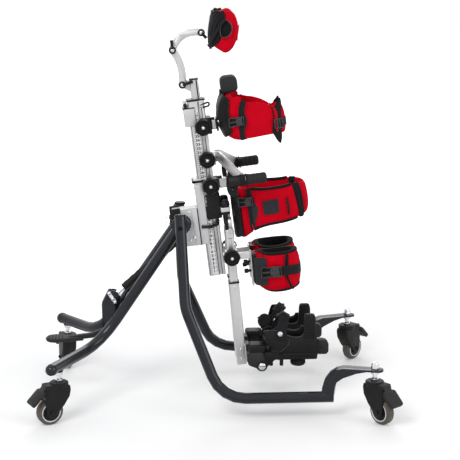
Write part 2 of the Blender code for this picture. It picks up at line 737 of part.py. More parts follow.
def knob(name, finish, parent, seat):
    """Lobed clamp knob that faces -y, with a collar seated on the clamp and a boss."""
    radius, lobes = KNOB_D / 2, 7
    outline = []
    for k in range(4 * lobes):
        turn = 2 * math.pi * k / (4 * lobes)
        grow = radius - 0.0016 * (0.5 - 0.5 * math.cos(lobes * turn))
        outline.append((grow * math.cos(turn), grow * math.sin(turn)))
    disc = plate(outline, -seat - 0.006 - KNOB_T, -seat - 0.006)
    rim = [e for e in disc.edges if abs(e.verts[0].co.y - e.verts[1].co.y) < GAP
           and e.verts[0].co.y < -seat - 0.007]
    soften(disc, 0.003, 1, rim)
    made = piece(name, disc, finish, parent)
    face = -seat - 0.006 - KNOB_T
    collar = rod((0, -seat - 0.008, 0), (0, -seat - GAP, 0), 0.011, 10)
    boss = lathe([(0.009, -0.003), (0.009, 0.002), (0.006, 0.004)], (0, face, 0), (0, -1, 0), 10)
    dish = lathe([(0.0175, -0.0025), (0.0205, 0.001)], (0, face, 0), (0, -1, 0), 16)
    weld(made, collar)
    cut(made, dish)
    weld(made, boss)
    return made


def rail_clamp(height, low, high, front):
    """Block that grips the mast's front half; returned with the cutter for the mast."""
    side = MAST_HALF + GAP + CLAMP_T
    body = block((MAST_FRONT - 0.022, -side, low), (front, side, high), 0.003, 2)
    way = block((MAST_FRONT - 0.03, -MAST_HALF - GAP, low - 0.01),
                (MAST_FRONT + GAP, MAST_HALF + GAP, high + 0.01))
    return body, way


def clamp_side():
    return MAST_HALF + GAP + CLAMP_T


def support_arm(name, height, reach, tall, finishes, tilt):
    """Carriage on the rail with its knob, and the square arm that slides on its spigot."""
    slide = empty(f"{name}_slide", tilt, (0, 0, height))
    front = MAST_FRONT + 0.0135
    body, way = rail_clamp(height, -tall / 2, tall / 2, front)
    carriage = piece(f"{name}_carriage", body, finishes["black"], slide)
    spigot = ARM_TUBE / 2 - 0.004
    weld(carriage, block((front - 0.002, -spigot, -spigot), (reach - 0.010, spigot, spigot)))
    rail = block((front - 0.006, -0.007, ARM_TUBE / 2 + 0.001),
                 (front + 0.012, 0.007, ARM_TUBE / 2 + 0.007), 0.001, 1)
    weld(carriage, rail)
    cut(carriage, way)
    turn = empty(f"{name}_knob_axis", slide, (MAST_FRONT - 0.013, 0, 0))
    knob(f"{name}_knob", finishes["black"], turn, clamp_side())
    depth = empty(f"{name}_depth", slide, (0, 0, 0))
    half = ARM_TUBE / 2
    arm = piece(f"{name}_arm", block((front + GAP, -half, -half), (reach, half, half), 0.002, 1),
                finishes["silver"], depth)
    bore = spigot + RUN_GAP
    cut(arm, block((front - 0.01, -bore, -bore), (reach - 0.004, bore, bore)))
    return slide, depth


def wrap_point(turn, deep, wide, taper=0.0, power=2.6):
    """Point on the flattened oval that a support follows in plan, narrower to the front."""
    c, s = math.cos(turn), math.sin(turn)
    x = math.copysign(abs(c) ** (2 / power), c)
    y = math.copysign(abs(s) ** (2 / power), s)
    narrow = 1 - taper * math.sin(math.pi / 4 * (1 + x))
    return deep * x, wide * y * narrow


def bowed(oval, x, z):
    """Shift forward that gives a support's back its hollow, fading towards the front."""
    centre, deep, _, _, bow, middle = oval
    share = min(1.0, max(0.0, (centre[0] + deep - x) / (2 * deep)))
    return bow * share * ((z - middle) / 0.07) ** 2


def wrap(oval, span, steps, wall, low, high, crown=0.0, proud=0.0, levels=2):
    """Upright band round an oval. Wall and heights are functions of the angle in plan."""
    centre, deep, wide, taper = oval[:4]
    bm = bmesh.new()
    start, end = span
    closed = end - start >= 2 * math.pi - 0.001
    count = steps if closed else steps + 1
    rings = []
    for k in range(count):
        turn = start + (end - start) * k / steps
        base, top, thick = low(turn), high(turn), wall(turn)
        soft = min(crown, (top - base) / 3)
        rise = [base + soft + (top - base - 2 * soft) * k / levels for k in range(levels + 1)]
        outer = [(-math.sin(math.pi * k / levels) * crown / 6, z) for k, z in enumerate(rise)]
        inner = [(thick, z) for z in (rise if oval[4] else rise[::levels])]
        shape = outer + inner[::-1]
        if crown:
            bulge = thick * 0.25
            tips = [(bulge, top), (thick - bulge, top)], [(thick - bulge, base), (bulge, base)]
            shape = outer + tips[0] + inner[::-1] + tips[1]
        ring = []
        for inset, z in shape:
            x, y = wrap_point(turn, deep + proud - inset, wide + proud - inset, taper)
            x += centre[0]
            ring.append(bm.verts.new((x + bowed(oval, x, z), centre[1] + y, z)))
        rings.append(ring)
    for lower, upper in zip(rings, rings[1:]):
        bridge(bm, lower, upper)
    if closed:
        bridge(bm, rings[-1], rings[0])
    else:
        bm.faces.new(rings[0])
        bm.faces.new(rings[-1])
    return bm


def blend(turn, back, side, front):
    """Value that runs from the back of a wrap round its sides to its front."""
    c = math.cos(turn)
    if c < 0:
        return side + (back - side) * c * c
    return side + (front - side) * c * c


def support_shell(name, oval, back_low, back_high, reach, half_span, finish, depth):
    """Black moulded back shell with a boss that seats on the arm's end."""
    centre, deep = oval[:2]
    span = (math.pi - half_span, math.pi + half_span)

    def low(turn):
        return back_low + 0.035 * math.sin(turn - math.pi) ** 2

    def high(turn):
        return back_high - 0.045 * math.sin(turn - math.pi) ** 2

    levels = BOW_LEVELS if oval[4] else 2
    body = wrap(oval, span, 10, lambda t: SHELL_T, low, high, 0.004, SHELL_T + CROWN_ROOM, levels)
    made = piece(f"{name}_shell", body, finish, depth)
    back = centre[0] - deep - SHELL_T - CROWN_ROOM
    half = ARM_TUBE / 2
    boss = block((reach + GAP, -half - 0.006, -half - 0.006),
                 (back + 0.003, half + 0.006, half + 0.006), 0.003, 2)
    weld(made, boss)
    return made


def buckle_strap(oval, turns, height, wide_strap):
    """Webbing that lies on the wrap with a side-release buckle in its middle."""
    centre, deep, wide, taper = oval[:4]
    start, end = (math.radians(t) for t in turns)
    low, high = height - wide_strap / 2, height + wide_strap / 2
    strap = wrap(oval, (start, end), 5, lambda t: 0.0022, lambda t: low, lambda t: high,
                 0.0, STRAP_ROOM + 0.0022)
    middle = (start + end) / 2
    x, y = wrap_point(middle, deep, wide, taper)
    before = Vector(wrap_point(middle - 0.05, deep, wide, taper))
    after = Vector(wrap_point(middle + 0.05, deep, wide, taper))
    heading = math.atan2((after - before).y, (after - before).x)
    out = Vector((math.sin(heading), -math.cos(heading), 0))
    body = block((-0.016, -0.006, low - 0.002), (0.016, 0.006, high + 0.002), 0.002, 1)
    x += centre[0]
    x += bowed(oval, x, height)
    at = Vector((x, centre[1] + y, 0)) + out * (STRAP_ROOM + 0.0060)
    return strap, moved(body, at, Matrix.Rotation(heading, 3, "Z"))


def buckles(name, oval, height, shell_span, finish, depth):
    """Webbing with its side-release buckle, on both flanks just ahead of the shell."""
    start = 180 + math.degrees(shell_span) + 4.0
    for end in NEAR_FAR:
        strap, body = buckle_strap(oval, (start, start + BUCKLE_SPAN), height, STRAP_W)
        if end == "far":
            strap, body = mirrored(strap), mirrored(body)
        weld(piece(f"{name}_buckle_{end}", strap, finish, depth), body)


def chest_support(finishes, tilt):
    slide, depth = support_arm("chest", CHEST_Z, CHEST_REACH, 0.050, finishes, tilt)
    deep, wide = CHEST_DEPTH / 2, CHEST_W / 2
    z = CHEST_Z
    oval = ((CHEST_BACK + deep, 0), deep, wide, CHEST_TAPER, CHEST_BOW, CHEST_BOW_Z - z)
    belt = wrap(oval, (0, 2 * math.pi), 30,
                lambda t: blend(t, BELT_BACK_T, BELT_T, BELT_FRONT_T),
                lambda t: blend(t, CHEST_LOW, CHEST_LOW, CHEST_LOW - 0.003) - z,
                lambda t: blend(t, CHEST_BACK_TOP, CHEST_SIDE_TOP, CHEST_FRONT_TOP) - z,
                0.010, 0.0, BOW_LEVELS)
    piece("chest_belt", belt, finishes["red"], depth, 60)
    shell = support_shell("chest", oval, CHEST_LOW + 0.005 - z, CHEST_BACK_TOP - z, CHEST_REACH,
                          CHEST_SHELL_SPAN, finishes["black"], depth)
    neck = block((COLLAR_X, -0.038, COLLAR_Z - z), (COLLAR_X + 0.048, 0.038, COLLAR_Z + 0.042 - z),
                 0.012, 2)
    low = COLLAR_Z - 0.019 - z
    stalk = plate([(COLLAR_X - 0.0085, low), (COLLAR_X - 0.0035, low), (COLLAR_X + 0.0010, low + 0.011),
                   (COLLAR_X + 0.0010, low + 0.0175), (COLLAR_X + 0.010, low + 0.0185),
                   (COLLAR_X + 0.010, low + 0.023), (COLLAR_X - 0.0065, low + 0.023)], -0.014, 0.014)
    weld(shell, stalk, neck)
    buckles("chest", oval, CHEST_STRAP_Z - z, CHEST_SHELL_SPAN, finishes["black"], depth)


def pelvis_support(finishes, tilt):
    slide, depth = support_arm("pelvis", PELVIS_Z, PELVIS_REACH, 0.038, finishes, tilt)
    deep, wide = PELVIS_DEPTH / 2, PELVIS_W / 2
    z = PELVIS_Z
    oval = ((PELVIS_BACK + deep, 0), deep, wide, PELVIS_TAPER, 0.0, 0.0)
    belt = wrap(oval, (0, 2 * math.pi), 38,
                lambda t: blend(t, BELT_BACK_T, BELT_T, BELT_FRONT_T),
                lambda t: blend(t, PELVIS_BACK_LOW, PELVIS_SIDE_LOW, PELVIS_FRONT_LOW) - z,
                lambda t: blend(t, PELVIS_BACK_TOP, PELVIS_SIDE_TOP, PELVIS_FRONT_TOP) - z, 0.010)
    piece("pelvis_belt", belt, finishes["red"], depth, 60)
    support_shell("pelvis", oval, PELVIS_BACK_LOW + 0.004 - z, PELVIS_BACK_TOP + 0.006 - z, PELVIS_REACH,
                  PELVIS_SHELL_SPAN, finishes["black"], depth)
    buckles("pelvis", oval, PELVIS_STRAP_Z - z, PELVIS_SHELL_SPAN, finishes["black"], depth)


def handles(finishes, tilt):
    """Clamp with two flat bars that reach out and forward to the grips."""
    slide = empty("handle_slide", tilt, (0, 0, HANDLE_Z))
    front = MAST_FRONT + 0.0135
    body, way = rail_clamp(HANDLE_Z, -0.021, 0.021, front)
    frame = piece("handle_frame", body, finishes["silver"], slide)
    half = GRIP_TRACK / 2
    drop = GRIP_Z - HANDLE_Z
    for side in NEAR_FAR.values():
        path = [(front - 0.006, side * 0.012, 0.006), (front + 0.010, side * 0.022, 0.004),
                (GRIP_X + 0.034, side * (half - 0.016), drop + 0.010),
                (GRIP_X + 0.044, side * half, drop + 0.004)]
        flat = [(-BAR_T / 2, -BAR_W / 2), (BAR_T / 2, -BAR_W / 2), (BAR_T / 2, BAR_W / 2),
                (-BAR_T / 2, BAR_W / 2)]
        weld(frame, sweep(path, flat))
        mount = lathe([(0.012, GRIP_X + 0.010), (GRIP_D / 2, GRIP_X + 0.014),
                       (GRIP_D / 2, GRIP_X + GRIP_MOUNT - GAP), (0.0085, GRIP_X + GRIP_MOUNT - GAP),
                       (0.0085, GRIP_X + GRIP_L - 0.012)], (0, side * half, drop), (1, 0, 0), 14)
        weld(frame, mount)
    cut(frame, way)
    turn = empty("handle_knob_axis", slide, (MAST_FRONT - 0.013, 0, 0))
    knob("handle_knob", finishes["black"], turn, clamp_side())
    inner, outer = 0.0085 + GAP, GRIP_D / 2
    start, end = GRIP_X + GRIP_MOUNT, GRIP_X + GRIP_L
    profile = [(outer - 0.002, start), (outer, start + 0.003)]
    for k in range(1, 4):
        at = start + 0.003 + (end - start - 0.006) * k / 4
        profile += [(outer, at - 0.002), (outer - 0.001, at), (outer, at + 0.002)]
    profile += [(outer, end - 0.003), (outer - 0.004, end)]
    for name, side in NEAR_FAR.items():
        grip = piece(f"handle_grip_{name}", lathe(profile, (0, side * half, drop), (1, 0, 0), 14),
                     finishes["rubber"], slide)
        cut(grip, rod((GRIP_X, side * half, drop), (end - 0.012 + GAP, side * half, drop),
                      inner, 12))


def head_link(start, end, bulge, steps=7):
    """Outline of a curved flat bar between two pivots, round at both ends."""
    a, b = Vector(start), Vector(end)
    chord = b - a
    across = Vector((chord.y, -chord.x)).normalized()
    line = []
    for k in range(steps + 1):
        t = k / steps
        line.append(a + chord * t + across * bulge * 4 * t * (1 - t))
    left, right = [], []
    for k, point in enumerate(line):
        along = (line[min(k + 1, steps)] - line[max(k - 1, 0)]).normalized()
        side = Vector((along.y, -along.x)) * LINK_W / 2
        left.append(point - side)
        right.append(point + side)
    first = (line[1] - line[0]).normalized()
    last = (line[-1] - line[-2]).normalized()
    nose = [b + Vector((last.x * math.sin(t) - last.y * math.cos(t),
                        last.y * math.sin(t) + last.x * math.cos(t))) * LINK_W / 2
            for t in (math.pi / 4, math.pi / 2, 3 * math.pi / 4)]
    tail = [a - Vector((first.x * math.sin(t) - first.y * math.cos(t),
                        first.y * math.sin(t) + first.x * math.cos(t))) * LINK_W / 2
            for t in (math.pi / 4, math.pi / 2, 3 * math.pi / 4)]
    return left + nose + right[::-1] + tail


def pivot_lever(at, near, reach):
    """Bolt head ring with its short clamp lever on the near side of a link."""
    x, z = at
    ring = lathe([(0.0105, 0.0), (0.0105, 0.007), (0.0085, 0.009)], (x, near, z), (0, -1, 0), 16)
    tip = Vector((x, near - 0.005, z)) + Vector(reach)
    arm = sweep([(x, near - 0.005, z), tip], circle(0.0032, 8))
    return ring, arm


def head_support(finishes, tilt):
    """Clamp on the mast, sliding post, two curved links and the head pad."""
    first, second, third = HEAD_PIVOTS
    centre = mast_centre()
    cheek = MAST_HALF + 0.006
    clamp = piece("head_clamp", block((MAST_BACK - 0.015, -cheek, MAST_TOP - 0.074),
                                      (MAST_BACK + 0.020, cheek, MAST_TOP - 0.018), 0.002, 1),
                  finishes["silver"], tilt)
    way = block((MAST_BACK - GAP, -MAST_HALF - GAP, MAST_TOP - 0.09),
                (MAST_FRONT, MAST_HALF + GAP, MAST_TOP + 0.01))
    cut(clamp, way)
    lid = block((MAST_BACK - 0.003, -MAST_HALF - 0.003, MAST_TOP + GAP),
                (MAST_FRONT + 0.003, MAST_HALF + 0.003, MAST_TOP + 0.005), 0.0015, 1)
    shelf = block((MAST_BACK - 0.014, -0.012, MAST_TOP - 0.020),
                  (MAST_BACK - 0.002, 0.012, MAST_TOP + 0.0035))
    lever_z = MAST_TOP - 0.013
    lug = block((MAST_FRONT - 0.016, -MAST_HALF - 0.003, lever_z - 0.006),
                (MAST_FRONT - 0.004, -MAST_HALF - GAP, MAST_TOP + 0.002))
    weld(clamp, lid, shelf, lug)
    screw = rod((MAST_FRONT - 0.010, -MAST_HALF - 0.006, lever_z),
                (MAST_FRONT - 0.010, -MAST_HALF - GAP, lever_z), 0.006, 12)
    loop = sweep(rounded([(MAST_FRONT - 0.012, -MAST_HALF - 0.004, lever_z),
                          (MAST_FRONT + 0.014, -MAST_HALF - 0.004, lever_z + 0.006),
                          (MAST_FRONT + 0.014, -MAST_HALF - 0.004, lever_z - 0.006),
                          (MAST_FRONT - 0.004, -MAST_HALF - 0.004, lever_z - 0.008)],
                         (0.005, 0.005), 3), circle(0.0022, 6))
    weld(clamp, screw, loop)
    hole = POST_W / 2 + GAP
    cut(clamp, block((centre - hole, -hole, MAST_TOP - 0.1), (centre + hole, hole, MAST_TOP + 0.02)))

    slide = empty("head_slide", tilt, (0, 0, 0))
    half = POST_W / 2
    post = piece("head_post", block((centre - half, -half, MAST_TOP - HEAD_POST_IN),
                                    (centre + half, half, HEAD_POST_TOP), 0.002, 1),
                 finishes["silver"], slide)
    plane = LINK_T / 2 + GAP
    tongue = plate([(first[0] + 0.004, first[1] - 0.013), (centre - half + 0.002, first[1] - 0.026),
                    (centre - half + 0.002, first[1] + 0.010), (first[0] + 0.004, first[1] + 0.012)]
                   + arc(first, 0.012, 100, 260, 6), plane, plane + LINK_T)
    weld(post, tongue)
    bolt = 0.004
    cut(post, rod((first[0], 0, first[1]), (first[0], 0.03, first[1]), bolt + GAP, 12))

    lower_axis = empty("head_lower_axis", slide, (first[0], 0, first[1]))
    shift = -Vector(first)
    rel = [tuple(Vector(p) + shift) for p in HEAD_PIVOTS]
    lower = piece("head_link_lower", plate(head_link(rel[0], rel[1], 0.011), -LINK_T / 2, LINK_T / 2),
                  finishes["silver"], lower_axis)
    ring, arm = pivot_lever(rel[0], -LINK_T / 2, (0.030, -0.013, 0.008))
    weld(lower, rod((0, 0, 0), (0, plane + LINK_T, 0), bolt, 12), ring, arm)
    cut(lower, rod((rel[1][0], -0.03, rel[1][1]), (rel[1][0], 0.03, rel[1][1]), bolt + GAP, 12))

    upper_axis = empty("head_upper_axis", lower_axis, (rel[1][0], 0, rel[1][1]))
    shift = -Vector(second)
    rel = [tuple(Vector(p) + shift) for p in HEAD_PIVOTS]
    upper = piece("head_link_upper", plate(head_link(rel[1], rel[2], -0.020), plane, plane + LINK_T),
                  finishes["silver"], upper_axis)
    face = -LINK_T / 2 - GAP
    ring, arm = pivot_lever(rel[1], face, (0.001, 0, 0.028))
    other, third_arm = pivot_lever(rel[2], face, (0.012, 0, -0.016))
    weld(upper, rod((rel[1][0], face - 0.002, rel[1][1]), (rel[1][0], plane + 0.001, rel[1][1]), bolt, 12),
         ring, arm,
         rod((rel[2][0], face - 0.002, rel[2][1]), (rel[2][0], plane + 0.001, rel[2][1]), bolt, 12),
         other, third_arm)
    head_pad(rel[2], bolt, finishes, upper_axis)


def head_pad(pivot, bolt, finishes, upper_axis):
    """Cupped shell on a tongue at the third pivot, with the crowned cushion inside it."""
    axis = empty("head_pad_axis", upper_axis, (pivot[0], 0, pivot[1]), (0, HEAD_TURN, 0))
    deep, wide, tall = HEAD_DEPTH, HEAD_W / 2, HEAD_H / 2
    back = HEAD_TONGUE + SHELL_T
    oval = ((back + deep, 0.0), deep, wide, 0.15, 0.0, 0.0)

    def edge(turn):
        reach = 1 - abs(math.cos(turn)) ** 0.77
        nose = max(0.0, (reach - 0.45) / 0.58)
        return tall * (0.80 + 0.45 * min(reach, 0.45)) * math.sqrt(max(0.06, 1 - nose ** 2))

    shell = piece("headrest_shell",
                  wrap(oval, (math.pi - 1.30, math.pi + 1.30), 14, lambda t: SHELL_T - 0.001,
                       lambda t: HEAD_RISE - edge(t) + 0.004, lambda t: HEAD_RISE + edge(t) - 0.004,
                       0.010, SHELL_T),
                  finishes["black"], axis)
    tongue = plate(arc((0, 0), 0.011, 90, 270, 6) + [(HEAD_TONGUE + 0.003, -0.013),
                                                     (HEAD_TONGUE + 0.003, 0.013)],
                   -LINK_T / 2, LINK_T / 2)
    room = wrap(oval, (math.pi - 1.40, math.pi + 1.40), 16, lambda t: 0.02,
                lambda t: -2 * tall, lambda t: 2 * tall, 0.0, HEAD_ROOM)
    weld(shell, tongue)
    cut(shell, room, rod((0, -0.03, 0), (0, 0.03, 0), bolt + GAP, 12))
    cushion = wrap(oval, (math.pi - 1.57, math.pi + 1.57), 20,
                   lambda t: 0.026 + 0.010 * math.cos(t - math.pi),
                   lambda t: HEAD_RISE - edge(t), lambda t: HEAD_RISE + edge(t), 0.012)
    piece("headrest_cushion", cushion, finishes["red"], axis, 60)


def leg_carriage(finishes, tilt):
    """Black block low on the rail with two collars that carry the leg posts."""
    slide = empty("leg_slide", tilt, (0, 0, 0))
    side = clamp_side()
    body = block((SLEEVE_FRONT + GAP, -side, 0.0), (MAST_FRONT + 0.011, side, 0.079), 0.003, 1)
    step = block((MAST_FRONT - 0.040, -side - 0.01, 0.0405), (MAST_FRONT - 0.031, side + 0.01, 0.09))
    way = block((MAST_BACK - 0.02, -MAST_HALF - GAP, -0.01),
                (MAST_FRONT + GAP, MAST_HALF + GAP, 0.09))
    made = piece("leg_carriage", body, finishes["black"], slide)
    cut(made, step)
    front = MAST_FRONT + 0.009
    for offset in (-LEG_TRACK / 2, LEG_TRACK / 2):
        collar = block((LEG_X - 0.017, offset - 0.016, 0.014), (LEG_X + 0.010, offset + 0.016, 0.040),
                       0.003, 1)
        cap = block((LEG_X - 0.014, offset - 0.013, 0.039), (LEG_X + 0.009, offset + 0.013, 0.053),
                    0.004, 1)
        neck = block((LEG_X - 0.008, offset - 0.009, LEG_PIVOT_Z), (LEG_X - GAP, offset + 0.009, 0.020))
        disc = rod((LEG_X - 0.011, offset, LEG_PIVOT_Z), (LEG_X - GAP, offset, LEG_PIVOT_Z),
                   RATCHET_D / 2, 14)
        weld(made, collar, cap, neck, disc)
    bar = block((front - 0.004, -LEG_TRACK / 2, 0.018), (LEG_X - 0.010, LEG_TRACK / 2, 0.036), 0.001, 1)
    weld(made, bar)
    cut(made, way)
    axis = empty("leg_lever_axis", slide, (MAST_FRONT - 0.004, 0, -0.006))
    path = rounded([(0, -side + 0.004, 0), (0, -side + 0.004, -0.012),
                    (-0.028, -side - 0.002, -0.016), (-0.052, -side - 0.002, -0.013)],
                   (0.006, 0.012), 4)
    lever = piece("leg_lever", sweep(path, circle(0.0048, 8)), finishes["black"], axis)
    weld(lever, rod((0, -side - 0.002, 0), (0, -side + 0.008, 0), 0.006 - GAP, 14))
    return slide


def leg(name, side, finishes, slide):
    """One leg: ratchet joint, sliding tubes, knee clamp and wrap, foot bracket and sandal."""
    offset = side * LEG_TRACK / 2
    swing = empty(f"leg_swing_{name}", slide, (LEG_X, offset, LEG_PIVOT_Z), (0, LEG_LEAN, 0))
    half = LEG_TUBE / 2
    centre = 0.0
    tube = block((centre - half, -half, LEG_INNER_LOW), (centre + half, half, -0.014), 0.002, 1)
    post = piece(f"leg_post_{name}", tube, finishes["silver"], swing)
    flat = rod((0.0, 0, 0), (0.011, 0, 0), RATCHET_D / 2, 14)
    level = Matrix.Rotation(-LEG_LEAN, 3, "Y")
    weld(post, moved(flat, (0, 0, 0), level))
    for face in (-1, 1):
        groove = block((centre - 0.004, face * half - 0.0015, LEG_INNER_LOW - 0.01),
                       (centre + 0.004, face * half + 0.0015, -0.026))
        cut(post, groove)
    clear = block((-0.03, -0.03, -0.022), (-GAP, 0.03, 0.03))
    cut(post, moved(clear, (0, 0, 0), level))
    knee(name, side, half, finishes, swing)
    lower = empty(f"leg_length_{name}", swing)
    wide = LEG_OUTER / 2
    sleeve = piece(f"leg_sleeve_{name}",
                   block((-wide, -wide, LEG_OUTER_LOW), (wide, wide, LEG_OUTER_TOP), 0.002, 1),
                   finishes["silver"], lower)
    bore = half + GAP
    cut(sleeve, block((-bore, -bore, LEG_OUTER_LOW + 0.02), (bore, bore, LEG_OUTER_TOP + 0.02)))
    foot(name, side, wide, sleeve, finishes, lower)


def knee(name, side, half, finishes, swing):
    """Clamp on the post with its knob, the arm to the pad's back plate and the wrap."""
    height = empty(f"knee_height_{name}", swing, (0, 0, KNEE_Z))
    wall = 0.007
    reach = half + wall
    centre_y = side * (KNEE_TRACK - LEG_TRACK) / 2
    clamp = piece(f"knee_arm_{name}", block((-reach, -reach, -0.016), (reach, reach, 0.016), 0.002, 1),
                  finishes["silver"], height)
    back = KNEE_BACK - LEG_X
    arm = block((reach - 0.002, -0.012, -0.013), (back - 0.010, 0.012, 0.005), 0.001, 1)
    inner, outer = min(0, centre_y) - 0.012, max(0, centre_y) + 0.012
    rail = block((back - 0.012, inner, -0.096), (back - 0.007, outer, 0.010), 0.001, 1)
    weld(clamp, arm, rail)
    bore = half + GAP
    cut(clamp, block((-bore, -bore, -0.03), (bore, bore, 0.03)))
    axis = empty(f"knee_knob_axis_{name}", height)
    if side > 0:
        axis.rotation_euler = (0, 0, math.pi)
    knob(f"knee_knob_{name}", finishes["black"], axis, reach)
    depth = empty(f"knee_depth_{name}", height)
    deep, wide = KNEE_DEPTH / 2, KNEE_W / 2
    oval = ((back + deep, centre_y), deep, wide, 0.0, 0.0, 0.0)
    cuff = wrap(oval, (0, 2 * math.pi), 26,
                lambda t: blend(t, 0.022, 0.014, 0.014), lambda t: blend(t, -0.092, -0.112, -0.100),
                lambda t: blend(t, 0.012, 0.006, 0.010), 0.012)
    pad = piece(f"knee_pad_{name}", cuff, finishes["red"], depth, 60)
    plate_back = block((back - 0.0065, centre_y - 0.030, -0.085), (back + 0.010, centre_y + 0.030, 0.006),
                       0.002, 1)
    weld(pad, plate_back)
    return pad


def foot(name, side, wide, sleeve, finishes, lower):
    """Bracket at the foot of the sleeve, and the sandal that tilts on the ankle bolt."""
    level = MAST_LEAN - LEG_LEAN
    spot = ankle_place()
    axis = empty(f"ankle_{name}", lower, spot, (0, level, 0))
    across = side * (FOOT_TRACK - LEG_TRACK) / 2
    inner, outer = sorted((across - 0.024, across + 0.024))
    pad = block((wide - 0.001, -0.020, LEG_OUTER_LOW + 0.008),
                (wide + 0.014, 0.020, LEG_OUTER_LOW + 0.066), 0.002, 1)
    x, z = spot[0], spot[2]
    cheek = plate([(wide + 0.004, z + 0.046), (x + 0.004, z + 0.044), (x + 0.015, z + 0.030),
                   (x + 0.018, z)] + arc((x, z), 0.018, -20, -160, 6)
                  + [(wide + 0.004, z + 0.006)], inner, outer)
    yoke = block((wide + 0.002, min(-0.018, inner), z + 0.010), (wide + 0.014, max(0.018, outer), z + 0.044))
    weld(sleeve, pad, cheek, yoke)
    cut(sleeve, rod((x, inner - 0.01, z), (x, outer + 0.01, z), 0.006 + GAP, 14))
    sandal(name, side, across, inner, outer, finishes, axis)


def ankle_place():
    """Ankle bolt in the leg's frame, from its place in the world at rest."""
    hub = Vector((HUB_X, HUB_Z))
    point = Vector((ANKLE_X, ANKLE_Z)) - hub
    lean = -MAST_LEAN
    mast = Vector((point.x * math.cos(lean) - point.y * math.sin(lean),
                   point.x * math.sin(lean) + point.y * math.cos(lean)))
    local = mast - Vector((LEG_X, LEG_PIVOT_Z))
    return (local.x * math.cos(LEG_LEAN) - local.y * math.sin(LEG_LEAN), 0,
            local.x * math.sin(LEG_LEAN) + local.y * math.cos(LEG_LEAN))


def sandal(name, side, across, inner, outer, finishes, axis):
    """Sole, side walls with the ankle dip, heel cup, base plate, knob and lock lever."""
    half = SOLE_W / 2
    start, sole = 0.026, 0.036
    end = start + SOLE_L
    top = sole + SOLE_T
    heel = top + HEEL_H
    outline = [(start, sole), (start, top + 0.010), (start + 0.030, top + 0.016),
               (start + 0.044, top + 0.046), (start + 0.070, top + 0.046),
               (start + 0.080, top + 0.040), (start + 0.100, top + 0.042),
               (start + 0.120, top + 0.060), (end - 0.036, heel), (end - 0.006, heel),
               (end, heel - 0.008), (end, sole)]
    made = piece(f"sandal_{name}", plate(outline, across - half, across + half),
                 finishes["black"], axis)
    room = block((start - 0.05, across - half + SANDAL_WALL, top - 0.002),
                 (end - 0.016, across + half - SANDAL_WALL, heel + 0.05))
    edges = [e for e in room.edges if abs(e.verts[0].co.z - e.verts[1].co.z) > 0.01
             and e.verts[0].co.x > start]
    soften(room, 0.018, 2, edges)
    cut(made, room)
    plank = block((start + 0.002, across - 0.030, sole - 0.016), (end - 0.002, across + 0.030, sole + 0.002),
                  0.002, 1)
    thumb = lathe([(0.023, 0.0), (0.024, 0.004), (0.024, 0.014), (0.020, 0.018)],
                  (start + 0.090, across, sole - 0.015), (0, 0, -1), 12)
    lever = block((end - 0.004, across + side * 0.012 - 0.012, sole - 0.004),
                  (end + 0.034, across + side * 0.012 + 0.012, sole + 0.026), 0.006, 1)
    weld(made, plank, thumb, lever)
    ear = 0.005
    for low, high in ((inner - GAP - ear, inner - GAP), (outer + GAP, outer + GAP + ear)):
        tab = plate([(start + 0.016, sole - 0.014), (start + 0.016, sole + 0.010),
                     (start - 0.006, sole + 0.008)] + arc((0, 0), 0.012, 110, 290, 6), low, high)
        weld(made, tab)
    bolt = rod((0, inner - GAP - ear - 0.003, 0), (0, outer + GAP + ear + 0.003, 0), 0.006, 14)
    weld(made, bolt)


def centre_on_floor(root):
    """Shift the whole object so that its box stands centred on the origin."""
    bpy.context.view_layer.update()
    graph = bpy.context.evaluated_depsgraph_get()
    spots = []
    for thing in bpy.context.scene.objects:
        if thing.type == "MESH" and not thing.hide_render:
            shape = thing.evaluated_get(graph)
            spots += [shape.matrix_world @ v.co for v in shape.data.vertices]
    low = [min(p[k] for p in spots) for k in range(3)]
    high = [max(p[k] for p in spots) for k in range(3)]
    root.location = (-(low[0] + high[0]) / 2, -(low[1] + high[1]) / 2, -low[2])
    bpy.context.view_layer.update()


def build():
    for thing in list(bpy.data.objects):
        bpy.data.objects.remove(thing, do_unlink=True)
    finishes = {
        "frame": material("graphite_steel", (0.055, 0.057, 0.065), 0.35, 0.8),
        "silver": material("silver_aluminium", (0.62, 0.63, 0.63), 0.35, 0.9),
        "chrome": material("chrome_steel", (0.75, 0.76, 0.78), 0.15, 1.0),
        "black": material("black_plastic", (0.018, 0.018, 0.020), 0.5),
        "rubber": material("black_rubber", (0.015, 0.015, 0.016), 0.7),
        "tread": material("taupe_tread", (0.19, 0.165, 0.135), 0.7),
        "red": material("red_fabric", (0.60, 0.010, 0.030), 0.85),
    }
    root = empty("standing_frame")
    for name, side in NEAR_FAR.items():
        front_leg(name, side, finishes["frame"], root)
        rear_leg(name, side, finishes["frame"], root)
    rear_brace(finishes["frame"], root)
    tilt_pedal(finishes["black"], root)
    casters(root, finishes)
    tilt = empty("tilt", root, (HUB_X, 0, HUB_Z), (0, -MAST_LEAN, 0))
    gas_spring(root, finishes)
    tilt_carriage(finishes["silver"], tilt)
    mast_rail(finishes["silver"], tilt)
    head_support(finishes, tilt)
    chest_support(finishes, tilt)
    handles(finishes, tilt)
    pelvis_support(finishes, tilt)
    slide = leg_carriage(finishes, tilt)
    for name, side in NEAR_FAR.items():
        leg(name, side, finishes, slide)
    centre_on_floor(root)


build()
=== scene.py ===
"""Look of a pediatric standing frame: finishes, sewn supports, hardware, floor, light and camera.

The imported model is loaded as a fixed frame. Its soft solids are replaced here by sewn pieces in
the same place, and small hardware is added on the bodies that carry it. Metres, +Z up. Work on
the mast is drawn in the mast's own frame: x forward from the hub axle, y across, z up the mast.
"""
import json
import math

import bmesh
import bpy
from mathutils import Matrix, Vector, noise


